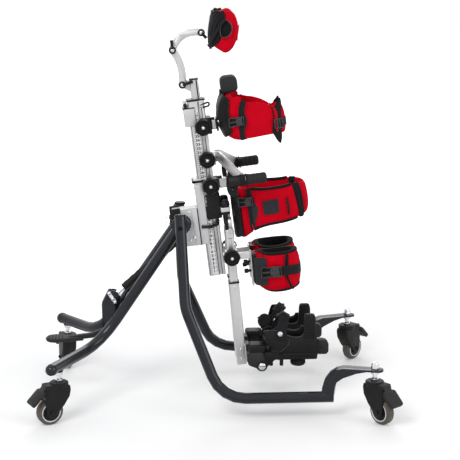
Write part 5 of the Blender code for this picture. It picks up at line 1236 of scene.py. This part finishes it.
def handle_hardware():
    """End caps and rings of the grips, the wrist loops and the bolts of the flat bars."""
    for name, side in SIDES.items():
        y = side * GRIP_OUT
        cap = turned([(0.0, 0.0022), (0.0095, 0.0016), (0.0122, 0.0), (0.0, 0.0)], 28)
        fitted(f"grip_cap_{name}", shifted(cap, (GRIP_END, y, GRIP_AXIS_Z), (1, 0, 0)), SATIN,
                "handle")
        mount = turned([(0.0155, 0.0), (0.0166, 0.002), (0.0166, 0.046), (0.0158, 0.05),
                        (0.013, 0.05), (0.013, 0.0)], 32, True)
        fitted(f"grip_collar_{name}", shifted(mount, (GRIP_START + 0.001, y, GRIP_AXIS_Z),
                                              (1, 0, 0)), BLACK, "handle")
        loops = []
        for x in (0.1925, 0.201, 0.2095):
            hoop = []
            for k in range(28):
                turn = 2 * math.pi * k / 28
                droop = 0.0012 * math.sin(3 * turn + x * 900)
                hoop.append(Vector((x + droop, y + 0.0176 * math.cos(turn),
                                    GRIP_AXIS_Z + 0.0178 * math.sin(turn))))
            outs = [(p - Vector((p.x, y, GRIP_AXIS_Z))).normalized() for p in hoop]
            loops.append(ribbon(hoop, outs, 0.0042, 0.0018, 10, 0.6, True))
        fitted(f"grip_loops_{name}", gathered(*loops), WEBBING, "handle", 60)
        wedge = slab((0.015, 0.006, 0.018), 0.0022, 3,
                     (GRIP_START + 0.056, y - side * 0.0158, GRIP_AXIS_Z + 0.005))
        fitted(f"grip_stop_{name}", wedge, SATIN, "handle")
        hang = smooth_line([(0.164, y - 0.004, 0.152), (0.16, y - side * 0.019, 0.14),
                            (0.157, y - side * 0.021, 0.118), (0.159, y - side * 0.018, 0.098),
                            (0.166, y - side * 0.014, 0.09), (0.173, y - side * 0.012, 0.098),
                            (0.176, y - side * 0.01, 0.12), (0.178, y - side * 0.006, 0.142)], 6)
        strap = ribbon(hang, Vector((0, -side, 0.2)).normalized(), 0.015, 0.002, 10, 0.4)
        fitted(f"grip_strap_{name}", strap, WEBBING, "handle", 60)
    bracket = gathered(slab((0.015, 0.036, 0.029), 0.004, 3, (0.1335, 0, 0.189)),
                       *[shifted(nut(0.009, 0.0034, 0.0014), (0.1335, way * 0.018, 0.189),
                                 (0, way, 0)) for way in (-1, 1)])
    fitted("handle_bracket", bracket, BLACK, "handle")


def leg_hardware():
    """Collars and pads on the leg posts, ratchet bosses, clamp hooks and small screws."""
    shin_foot = -0.452
    for name, side in SIDES.items():
        y = side * LEG_ACROSS
        collar = slab((0.0285, 0.033, 0.015), 0.0026, 3, (0.1405, y, 0.03))
        fitted(f"leg_collar_{name}", collar, CAST, "mast")
        cap = turned([(0.0, 0.058), (0.007, 0.0572), (0.0118, 0.0545), (0.0138, 0.05),
                      (0.0142, 0.04), (0.0, 0.04)], 28)
        fitted(f"leg_cap_{name}", shifted(cap, (0.1415, y, 0)), BLACK, "mast")
        block = slab((0.015, 0.0312, 0.011), 0.0014, 2, (0.1385, y, 0.0155))
        fitted(f"leg_pad_{name}", block, SATIN, "mast")
        boss = gathered(turned([(0.0, 0.0036), (0.0052, 0.0036), (0.006, 0.0028), (0.006, 0.0),
                                (0.0, 0.0)], 28),
                        turned([(0.0072, 0.0016), (0.0086, 0.0022), (0.0098, 0.0016), (0.0098, 0.0),
                                (0.0072, 0.0)], 32, True))
        boss = shifted(boss, (0.0052, side * 0.0125, -0.024), (0, side, 0))
        fitted(f"leg_boss_{name}", boss, CAST, f"leg_{name}")
        cheeks = slab((0.025, 0.0262, 0.029), 0.0035, 3, (0.002, 0.0, -0.033))
        fitted(f"leg_cheek_{name}", cheeks, TUBE, f"leg_{name}")
        screws = [shifted(screw_head(0.0036), (0.0, side * 0.0152, z), (0, side, 0))
                  for z in (-0.2, shin_foot + 0.02, shin_foot + 0.05)]
        fitted(f"leg_screws_{name}", gathered(*screws), CHROME, f"shin_{name}")
        rim = gathered(*[slab((w, d, 0.0055), 0.0008, 2, (x, yy, -0.1865)) for x, yy, w, d in (
            (-0.0147, 0, 0.0026, 0.0318), (0.0147, 0, 0.0026, 0.0318), (0, 0.0147, 0.0318, 0.0026),
            (0, -0.0147, 0.0318, 0.0026))])
        fitted(f"leg_sleeve_rim_{name}", rim, BLACK, f"shin_{name}")
        hooks = [shifted(turned([(0.0, 0.0212), (0.0056, 0.0208), (0.007, 0.0182),
                                 (0.007, 0.01), (0.0052, 0.0082), (0.0042, 0.008),
                                 (0.0042, 0.0), (0.0, 0.0)], 20), (0.0564, 0, z), (-1, 0, 0))
                 for z in (-0.025, -0.054)]
        fitted(f"knee_arm_knobs_{name}", gathered(*hooks), SATIN, f"knee_slider_{name}")


def hub_hardware():
    """Plugs, toothed rings, flanges, bolts and studs round the tilt hub, and the leg caps."""
    hub = Vector(JOINT["tilt"]["pos_m"])
    plugs = []
    for name, side in SIDES.items():
        outside = hub + Vector((-0.003, side * 0.1058, 0.0))
        plug = turned([(0.0, 0.0018), (0.0062, 0.0018), (0.0076, 0.0008), (0.008, -0.003),
                       (0.0, -0.003)], 28)
        plugs.append(shifted(plug, outside, (0, side, 0)))
        ring = turned([(0.02, 0.0), (0.02, 0.015), (0.029, 0.015), (0.0298, 0.0142),
                       (0.0298, 0.0008), (0.029, 0.0)], 44, True)
        teeth = []
        for k in range(22):
            tooth = slab((0.0036, 0.005, 0.015), 0.001, 1, (0.0302, 0, 0.0075))
            bmesh.ops.rotate(tooth, matrix=Matrix.Rotation(2 * math.pi * k / 22, 3, "Z"),
                             verts=tooth.verts)
            teeth.append(tooth)
        at = hub + Vector((0, side * 0.03, 0))
        fitted(f"hub_gear_{name}", shifted(gathered(ring, *teeth), at, (0, side, 0)), SATIN, "base",
               38)
        nuts = [shifted(nut(0.0115, 0.004, 0.0018), (0.037, side * 0.0236, -0.05), (0, side, 0)),
                shifted(screw_head(0.0046), (0.0235, side * 0.0232, -0.0585), (0, side, 0)),
                shifted(screw_head(0.0034), (0.03, side * 0.0232, 0.029), (0, side, 0))]
        fitted(f"carriage_nuts_{name}", gathered(*nuts), CHROME, "mast")
        flange = slab((0.0165, 0.002, 0.116), 0.0009, 2, (0.0462, side * 0.0243, -0.019))
        fitted(f"carriage_flange_{name}", flange, CAST, "mast")
        guard = slab((0.033, 0.0024, 0.104), 0.001, 2, (-0.013, side * 0.0246, -0.005))
        fitted(f"carriage_guard_{name}", guard, BLACK, "mast")
        line = slab((0.0024, 0.0016, 0.117), 0.0005, 1, (0.0556, side * 0.0257, -0.019))
        fitted(f"carriage_joint_{name}", line, SATIN, "mast")
    fitted("hub_plugs", gathered(*plugs), TAR, "base", 38)
    spots = [(-0.0285, y, z) for y in (-0.012, 0.012) for z in (0.018, 0.0026)]
    studs = [shifted(turned([(0.0, 0.0165), (0.0024, 0.0162), (0.0032, 0.015), (0.0032, 0.0),
                             (0.0, 0.0)], 18), at, (-1, 0, 0)) for at in spots]
    fitted("carriage_back_studs", gathered(*studs), CHROME, "mast")
    lock_nuts = [shifted(nut(0.0085, 0.005), at, (-1, 0, 0)) for at in spots]
    fitted("carriage_back_nuts", gathered(*lock_nuts), SATIN, "mast")
    collar = gathered(slab((0.034, 0.0074, 0.0075), 0.0016, 2, (0.067, -0.0248, 0.1215)),
                      slab((0.034, 0.0074, 0.0075), 0.0016, 2, (0.067, 0.0248, 0.1215)),
                      slab((0.013, 0.057, 0.0075), 0.0016, 2, (0.0565, 0, 0.1215)))
    fitted("carriage_collar", collar, SATIN, "mast")
    screws = gathered(shifted(nut(0.008, 0.005, 0.0012), (0.056, -0.01, 0.1), (-1, 0, 0)),
                      shifted(nut(0.008, 0.005, 0.0012), (0.056, 0.01, 0.1), (-1, 0, 0)),
                      shifted(turned([(0.0, 0.007), (0.0022, 0.0066), (0.0026, 0.005),
                                      (0.0026, 0.0), (0.0, 0.0)], 16), (0.046, -0.023, 0.038)))
    fitted("carriage_screws", screws, CHROME, "mast")
    top = Vector((hub.x + 0.0005, hub.y + 0.0889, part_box("front_leg_far")[1].z))
    caps = [shifted(turned([(0.0, 0.0014), (0.015, 0.0012), (0.0172, -0.0006), (0.0176, -0.0052),
                            (0.015, -0.0066), (0.0, -0.0066)], 40), top),
            shifted(turned([(0.017, 0.0), (0.0178, 0.001), (0.0178, 0.006), (0.017, 0.007)], 40,
                           True), top - Vector((0, 0, 0.029)))]
    fitted("leg_tube_caps", gathered(*caps), SATIN, "base", 38)


def spring_hardware():
    """Eye bush, clevis plates and nuts at the foot of the spring, and the ribbed foot pedal."""
    pin = Vector(JOINT["tilt_pedal"]["pos_m"])
    foot = Vector((pin.x + 0.024, JOINT["tilt"]["pos_m"][1], pin.z + 0.103))
    nuts, plates = [], []
    for side in (-1, 1):
        out = Vector((0, side * 0.0186, 0))
        line = [foot + out + Vector((-0.013, 0, 0.022)), foot + out + Vector((-0.008, 0, 0.012)),
                foot + out, foot + out + Vector((0.008, 0, -0.012))]
        line = smooth_line(line, 5)
        plates.append(ribbon(line, Vector((0, side, 0)), 0.011, 0.0026, 12, 0.4))
        for spot in (foot, foot + Vector((-0.011, 0, 0.018)), foot + Vector((0.007, 0, -0.01))):
            nuts.append(shifted(nut(0.012, 0.005, 0.0022),
                                spot + out + Vector((0, side * 0.001, 0)), (0, side, 0)))
        nuts.append(shifted(nut(0.0135, 0.0045, 0.002), pin + Vector((0, side * 0.0178, 0)),
                            (0, side, 0)))
    fitted("spring_bracket_nuts", gathered(*nuts, *plates), CHROME, "base", 38)
    ring = [(0.0058, 0.0), (0.0058, 0.0007), (0.0098, 0.0007), (0.0098, 0.0)]
    bush = gathered(*[shifted(turned(ring, 32, True), foot + Vector((0, side * 0.0094, 0)),
                              (0, side, 0)) for side in (-1, 1)])
    fitted("spring_eye_bush", bush, SATIN, "base", 38)
    ridges = [slab((0.003, 0.048 - 0.006 * abs(k - 2), 0.0014), 0.0005, 2,
                   (-0.156 + 0.01 * (k - 2), 0, -0.0216)) for k in range(5)]
    pad = shifted(gathered(*ridges), pin)
    fitted("tilt_pedal_ridges", pad, GRIP, "foot_pedal", 38)


def caster_hardware():
    """Chrome stems, lock nuts and domes, wheel rings and hubs, axle bolts and pedal pads."""
    for name in CORNERS:
        swivel = Vector(JOINT["swivel_" + name]["pos_m"])
        axle = Vector(JOINT["wheel_spin_" + name]["pos_m"])
        forward = Vector((axle.x - swivel.x, axle.y - swivel.y, 0)).normalized()
        side = Vector((0, 0, 1)).cross(forward)
        local = Matrix((forward, side, Vector((0, 0, 1)))).transposed().to_4x4()
        local.translation = Vector((swivel.x, swivel.y, -0.0004))
        front = name.startswith("front")
        under = 0.157 if front else 0.158
        profile = [(0.0, HOOD_TOP + 0.0006), (0.0114, HOOD_TOP + 0.0006),
                   (0.0116, HOOD_TOP + 0.0012), (0.0116, HOOD_TOP + 0.0072),
                   (0.0104, HOOD_TOP + 0.0086), (0.0066, HOOD_TOP + 0.0104),
                   (0.0066, under - 0.009), (0.0108, under - 0.0084), (0.0116, under - 0.0076),
                   (0.0116, under - 0.0006), (0.0, under - 0.0006)]
        fitted(f"stem_sleeve_{name}", turned(profile, 32), CHROME, "base", 35, where=local)
        if front:
            dome = gathered(nut(0.026, 0.009),
                            turned([(0.0, 0.0226), (0.004, 0.0222), (0.0086, 0.0196),
                                    (0.0112, 0.014), (0.0116, 0.0088), (0.0, 0.0088)], 28))
            fitted(f"stem_dome_{name}", shifted(dome, (0, 0, 0.1632)), CHROME, "base", 35,
                   where=local)
        else:
            socket = turned([(0.0125, 0.0), (0.0132, 0.001), (0.0132, 0.016), (0.0122, 0.018),
                             (0.01, 0.018), (0.01, 0.0)], 32, True)
            fitted(f"stem_socket_{name}", shifted(socket, (0, 0, 0.1586)), BLACK, "base", 35,
                   where=local)
        hub, rings = [], []
        for way in (-1, 1):
            at = (TRAIL, way * 0.0103, WHEEL_R)
            hub.append(shifted(turned([(0.0, 0.0006), (0.011, 0.001), (0.014, 0.0022),
                                       (0.0225, 0.0026), (0.025, 0.0018), (0.0254, -0.0008),
                                       (0.0, -0.0008)], 40), at, (0, way, 0)))
            rings.append(shifted(turned([(0.0262, -0.001), (0.0268, 0.0008), (0.0275, 0.0014),
                                         (0.0288, 0.0014), (0.0295, 0.0006), (0.0298, -0.001)],
                                        48, True), (TRAIL, way * 0.014, WHEEL_R), (0, way, 0)))
        fitted(f"wheel_hub_{name}", gathered(*hub), SATIN, f"wheel_{name}", 35, where=local)
        fitted(f"wheel_ring_{name}", gathered(*rings), RING, f"wheel_{name}", 35, where=local)
        bolts = [shifted(nut(0.013, 0.003, 0.002), (TRAIL, way * (HOOD_HALF + 0.0001), WHEEL_R),
                         (0, way, 0)) for way in (-1, 1)]
        fitted(f"axle_bolts_{name}", gathered(*bolts), SATIN, f"caster_{name}", 35, where=local)
        tilt = placed((0.043, 0, HOOD_TOP - 0.011), -PEDAL_DROP)
        half, start, end, corner = 0.025, 0.0145, 0.069, 0.008
        corners = ((end - corner, half - corner, 0), (start + corner, half - corner, 90),
                   (start + corner, corner - half, 180), (end - corner, corner - half, 270))
        outline = [(x + corner * math.cos(math.radians(a)), y + corner * math.sin(math.radians(a)))
                   for x, y, first in corners for a in range(first, first + 91, 18)]
        pad = cut_out(outline, -0.0056, 0.0056, 0.0024, 2)
        bmesh.ops.rotate(pad, matrix=Matrix.Rotation(math.radians(90), 3, "X"), verts=pad.verts)
        ribs = [slab((0.0024, 0.036, 0.0014), 0.0005, 2, (0.025 + 0.0085 * k, 0, 0.0058))
                for k in range(5)]
        fitted(f"pedal_pad_{name}", gathered(pad, *ribs), PEDAL, f"brake_{name}",
               where=local @ tilt)


knob_faces()
mast_scale()
head_hardware()
handle_hardware()
leg_hardware()
hub_hardware()
spring_hardware()
caster_hardware()


# Sandals, in world directions from the ankle: x to the heel post, y across, z up

# Heights that differ between the near and the far sandal
NOSE = {"near": (0.119, 0.098), "far": (0.1, 0.098)}
POST_TOP = {"near": 0.169, "far": 0.16}
CREST = {"near": 0.154, "far": 0.147}
PAD_Z = {"near": 0.095, "far": 0.107}
CLIP_Z = {"near": 0.15, "far": 0.14}


def sandal_shell(name, y, near, far):
    """Side walls, heel posts, floor, toe, sole board, flange, ankle ears and pins."""
    side_wall = [(0.003, 0.103), (0.002, 0.113), (0.008, 0.119), (0.036, 0.118), (0.06, 0.11),
                 (0.078, 0.101), (0.098, 0.0955), (0.112, 0.0955), (0.122, 0.1), (0.127, 0.11),
                 (0.1635, 0.11), (0.168, 0.1), (0.171, 0.06), (0.17, 0.04), (0.068, 0.04),
                 (0.04, 0.06), (0.018, 0.084)]
    top = POST_TOP[name]
    post = [(0.126, 0.09), (0.1285, top - 0.01), (0.13, top - 0.003), (0.134, top),
            (0.156, top), (0.161, top - 0.004), (0.164, top - 0.016), (0.165, 0.09)]
    low_post = [(0.132, 0.09), (0.136, 0.118), (0.143, 0.124), (0.156, 0.124), (0.162, 0.118),
                (0.165, 0.09)]
    toe = [(0.006, 0.082), (0.01, 0.094), (0.02, 0.092), (0.052, 0.056), (0.05, 0.044)]
    board = [(0.01, 0.03), (0.022, 0.022), (0.168, 0.022), (0.171, 0.026), (0.171, 0.0385),
             (0.06, 0.0385), (0.03, 0.048), (0.006, 0.044)]
    flange = [(0.052, 0.04), (0.075, 0.0352), (0.168, 0.0352), (0.1725, 0.04),
              (0.1725, 0.045), (0.07, 0.045)]
    ear = [(0.042, 0.022), (0.042, 0.046), (0.02, 0.044), (0.004, 0.0118), (-0.006, 0.0104),
           (-0.0112, 0.0042), (-0.0112, -0.0042), (-0.006, -0.0104), (0.0, -0.012),
           (0.008, -0.0095)]
    walls = []
    for low, nose in zip((near, far - 0.0075), NOSE[name]):
        outline = [(x, z if x > 0.05 or z < 0.095 else min(z, nose - 0.004 * (x < 0.004)))
                   for x, z in side_wall]
        walls.append(cut_out(outline, low, low + 0.0075, 0.0022))
    pins = [shifted(turned([(0.0, 0.0), (0.0052, 0.0004), (0.006, 0.002), (0.006, 0.022),
                            (0.0, 0.022)], 20), (x, y + way * 0.028, 0.002))
            for x in (0.028, 0.06) for way in (-1, 1)]
    wide = far - near - 0.004
    ears = [cut_out(ear, y + low, y + low + 0.005, 0.0012, 1) for low in (-0.0293, 0.0243)]
    return gathered(*walls,
                    cut_out(post, near - 0.0015, near + 0.013, 0.003),
                    cut_out(low_post, far - 0.012, far + 0.001, 0.003),
                    slab((0.013, wide, 0.074), 0.004, 2, (0.1575, y, 0.076)),
                    slab((0.142, wide, 0.016), 0.003, 2, (0.098, y, 0.049)),
                    cut_out(toe, near + 0.004, far - 0.004, 0.0025),
                    cut_out(board, y - 0.035, y + 0.035, 0.0022),
                    cut_out(flange, near - 0.0022, far + 0.0022, 0.0018),
                    *ears, *pins)


def thumb_wheel(y):
    """Ribbed wheel under the sole that clamps the sandal along its board."""
    wheel = turned([(0.0, -0.005), (0.0175, -0.0046), (0.0205, -0.003), (0.0215, 0.0),
                    (0.0215, 0.012), (0.0195, 0.015), (0.012, 0.016), (0.012, 0.023),
                    (0.0, 0.023)], 32)
    ribs = [slab((0.0034, 0.0024, 0.012), 0.0007, 1) for k in range(20)]
    for k, rib in enumerate(ribs):
        bmesh.ops.transform(rib, matrix=Matrix.Rotation(2 * math.pi * k / 20, 4, "Z")
                            @ Matrix.Translation((0.022, 0, 0.006)), verts=rib.verts)
    return shifted(gathered(wheel, *ribs), (0.114, y, 0.0))


def heel_lock(y):
    """Lock behind the heel post, with its round button."""
    lock = cut_out([(0.168, 0.04), (0.176, 0.034), (0.2, 0.034), (0.207, 0.042), (0.207, 0.068),
                    (0.201, 0.078), (0.188, 0.082), (0.174, 0.08), (0.168, 0.074)],
                   y - 0.0135, y + 0.0135, 0.004, 3)
    button = turned([(0.0, 0.0016), (0.005, 0.0014), (0.006, 0.0004), (0.0072, -0.0006),
                     (0.0, -0.0006)], 24)
    return gathered(lock, shifted(button, (0.188, y - 0.0135, 0.058), (0, -1, 0)))


def post_ribs(near):
    """Slats and uprights on the near face of a sandal's tall post."""
    slats = [slab((0.027, 0.0016, 0.003), 0.0005, 1, (0.147, near - 0.0018, 0.098 + 0.0075 * k))
             for k in range(9)]
    uprights = [slab((0.0018, 0.0016, 0.064), 0.0005, 1, (0.137 + 0.01 * k, near - 0.0019, 0.128))
                for k in range(3)]
    return gathered(*slats, *uprights)


def sandal_welts(name, near, far):
    """Rounded edges of the two walls, and the curved ridge on the near one, in a lighter grey that
    is a painted highlight along them.
    """
    lines = []
    for edge, nose in zip((near, far), NOSE[name]):
        lines.append(([(0.004, edge, nose - 0.002), (0.036, edge, nose), (0.06, edge, 0.1108),
                       (0.078, edge, 0.1016), (0.098, edge, 0.0962), (0.112, edge, 0.0962),
                       (0.122, edge, 0.1008), (0.126, edge, 0.1085)], 0.0026, 0.0034))
    lines.append(([(0.056, near - 0.0004, 0.05), (0.068, near - 0.0006, 0.06),
                   (0.08, near - 0.0006, 0.074), (0.084, near - 0.0004, 0.09)], 0.0024, 0.0024))
    welts = []
    for marks, wide, thick in lines:
        line = smooth_line(marks, 6)
        welts.append(ribbon(line, Vector((0, 1, 0)), wide, thick, 10, 0.9))
    return gathered(*welts)


def instep_straps(name, y):
    """Strap over the instep and the raised lip on its heel side."""
    def over(marks, wide, thick):
        line = smooth_line(marks, 6)
        ups = [Vector((0, p.y - y, p.z - 0.085)).normalized() for p in line]
        return ribbon(line, ups, wide, thick, 12, 0.35)

    out, crest = SOLE_HALF + 0.0012, CREST[name]
    strap = over([(0.052, y - out, 0.088), (0.057, y - out - 0.001, 0.112),
                  (0.061, y - 0.035, 0.133), (0.065, y - 0.02, crest - 0.0055), (0.068, y, crest),
                  (0.065, y + 0.02, crest - 0.0055), (0.061, y + 0.035, 0.133),
                  (0.057, y + out + 0.001, 0.112), (0.052, y + out, 0.088)],
                 lambda s: 0.028 + 0.01 * abs(2 * s - 1), 0.0034)
    lip = over([(0.076, y - 0.026, crest - 0.01), (0.079, y - 0.01, crest - 0.0008),
                (0.079, y + 0.006, crest), (0.077, y + 0.022, crest - 0.006)], 0.012, 0.006)
    return gathered(strap, lip)


def instep_clip():
    """Square strap clip with two raised bars and a tongue between them."""
    return gathered(slab((0.033, 0.031, 0.008), 0.0026, 3),
                    slab((0.03, 0.006, 0.005), 0.0018, 2, (0, 0.01, 0.005)),
                    slab((0.03, 0.006, 0.005), 0.0018, 2, (0, -0.009, 0.005)),
                    slab((0.018, 0.011, 0.003), 0.0012, 2, (0.002, 0, 0.0044)))


def sandal_bolts(y, near, far):
    """Domed screws of the instep strap and the flat heads of the ankle bolt."""
    bolts = []
    for edge, way in ((near, -1), (far, 1)):
        bolts.append(shifted(turned([(0.0, 0.0042), (0.005, 0.004), (0.0078, 0.0028),
                                     (0.0086, 0.0006), (0.0086, -0.001), (0.0, -0.001)], 32),
                             (0.0537, edge + way * 0.004, 0.1085), (0, way, 0)))
        bolts.append(shifted(turned([(0.0, 0.003), (0.009, 0.0028), (0.0108, 0.0016),
                                     (0.0114, -0.0008), (0.0, -0.001)], 32),
                             (0.0, y + way * 0.03, 0), (0, way, 0)))
    return gathered(*bolts)


def sandals():
    """Both moulded sandals with their straps, clips, pads, bolts, locks and ankle caps."""
    for name, side in SIDES.items():
        body, y = f"foot_{name}", side * FOOT_ACROSS
        near, far = y - SOLE_HALF, y + SOLE_HALF
        fitted(f"sandal_shell_{name}", sandal_shell(name, y, near, far), BLACK, body,
               swaps=(f"sandal_{name}",))
        insole = slab((0.118, 2 * SOLE_HALF - 0.019, 0.006), 0.0026, 3, (0.09, y, 0.0595))
        pad = turned([(0.0, 0.0066), (0.012, 0.0062), (0.019, 0.0044), (0.0222, 0.0008),
                      (0.0216, -0.0034), (0.0165, -0.0058), (0.0, -0.0062)], 40)
        bmesh.ops.scale(pad, vec=(0.98, 1.15, 1), verts=pad.verts)
        pad = shifted(pad, (0.017, y - side * 0.036, PAD_Z[name]), (-0.42, -side * 0.62, 0.66))
        clip = shifted(instep_clip(), (0.068, y - side * 0.015, CLIP_Z[name]),
                       (-0.05, -side * 0.8, 0.6), math.radians(45))
        # The welts' lighter grey finish is a painted highlight along the walls' edges
        for part, bm, finish, sharp in (
                ("thumb", thumb_wheel(y), GRIP, 40),
                ("lock", heel_lock(y + side * 0.012), PEDAL, 40),
                ("post_ribs", post_ribs(near), BLACK, 40),
                ("welts", sandal_welts(name, near, far), EDGE, 50),
                ("insole", insole, COVER, 50), ("straps", instep_straps(name, y), WEBBING, 60),
                ("clip", clip, CLIP, 40), ("bolts", sandal_bolts(y, near, far), CHROME, 40)):
            fitted(f"sandal_{part}_{name}", bm, finish, body, sharp)
        fitted(f"sandal_pad_{name}", pad, COVER, body, 80, 1)
        cap = slab((0.054, 0.05, 0.029), 0.008, 3, (-0.013, y, 0.053))
        fitted(f"ankle_cap_{name}", cap, BLACK, f"shin_{name}", where=FOOT[name])


sandals()


# Floor, world, light and camera

def backdrop():
    """Pale floor that keeps the shadow, and a white world for the camera and for gloss."""
    floor = bpy.data.meshes.new("studio_floor")
    bm = bmesh.new()
    bmesh.ops.create_grid(bm, x_segments=1, y_segments=1, size=14.0)
    bm.to_mesh(floor)
    bm.free()
    sheet = bpy.data.objects.new("studio_floor", floor)
    bpy.context.scene.collection.objects.link(sheet)
    made = Finish("studio_floor_white", (0.86, 0.86, 0.86), 0.9)
    path = made.node("LightPath")
    away = made.node("VectorMath", made.point(), operation="LENGTH").outputs["Value"]
    glow = made.node("Emission", made.tint(made.fade(away, 0.7, 3.0), (0.16, 0.16, 0.16),
                                           (0.8, 0.8, 0.8)), 1.0)
    plain = made.node("Emission", Color=(0, 0, 0, 1), Strength=0.0)
    lift = made.node("MixShader", path.outputs["Is Camera Ray"], plain.outputs[0], glow.outputs[0])
    both = made.node("AddShader", made.shader.outputs[0], lift.outputs[0])
    made.links.new(both.outputs[0], made.nodes["Material Output"].inputs["Surface"])
    floor.materials.append(made.material)

    world = bpy.data.worlds.new("studio_world")
    bpy.context.scene.world = world
    world.use_nodes = True
    nodes, links = world.node_tree.nodes, world.node_tree.links
    nodes.clear()

    def background(colour, strength):
        made = nodes.new("ShaderNodeBackground")
        made.inputs["Color"].default_value = (*colour, 1)
        made.inputs["Strength"].default_value = strength
        return made.outputs[0]

    rays = nodes.new("ShaderNodeLightPath").outputs
    white = rays["Is Camera Ray"]
    for kind in ("Is Glossy Ray", "Is Transmission Ray"):
        either = nodes.new("ShaderNodeMath")
        either.operation = "MAXIMUM"
        links.new(white, either.inputs[0])
        links.new(rays[kind], either.inputs[1])
        white = either.outputs[0]
    mix = nodes.new("ShaderNodeMixShader")
    for slot, feed in enumerate((white, background((0.97, 0.98, 1.0), 0.62),
                                 background((1, 1, 1), 1.0))):
        links.new(feed, mix.inputs[slot])
    links.new(mix.outputs[0], nodes.new("ShaderNodeOutputWorld").inputs["Surface"])


def lamp(name, at, target, size, power, colour=(1, 1, 1)):
    """Round area light aimed at a spot."""
    data = bpy.data.lights.new(name, "AREA")
    data.shape, data.size, data.energy, data.color = "DISK", size, power, colour
    made = bpy.data.objects.new(name, data)
    made.location = at
    made.rotation_euler = (Vector(target) - Vector(at)).to_track_quat("-Z", "Y").to_euler()
    bpy.context.scene.collection.objects.link(made)


def camera():
    """Camera solved from the photograph."""
    data = bpy.data.cameras.new("view")
    data.lens, data.sensor_width = 105.65, 36.0
    made = bpy.data.objects.new("view", data)
    made.location = (-0.187042, -4.060969, 1.455733)
    made.rotation_euler = (math.pi / 2 - 0.2246, 0.0, -0.0609)
    bpy.context.scene.collection.objects.link(made)
    bpy.context.scene.camera = made


backdrop()
lamp("key_light", (-1.6, -2.6, 3.2), (0.0, 0.0, 0.5), 1.8, 62)
lamp("fill_light", (2.8, -1.8, 1.8), (0.0, 0.0, 0.6), 2.2, 26)
lamp("back_light", (0.3, 2.8, 2.6), (0.0, 0.0, 0.6), 2.0, 30)
camera()
bpy.context.scene.view_settings.view_transform = "Standard"
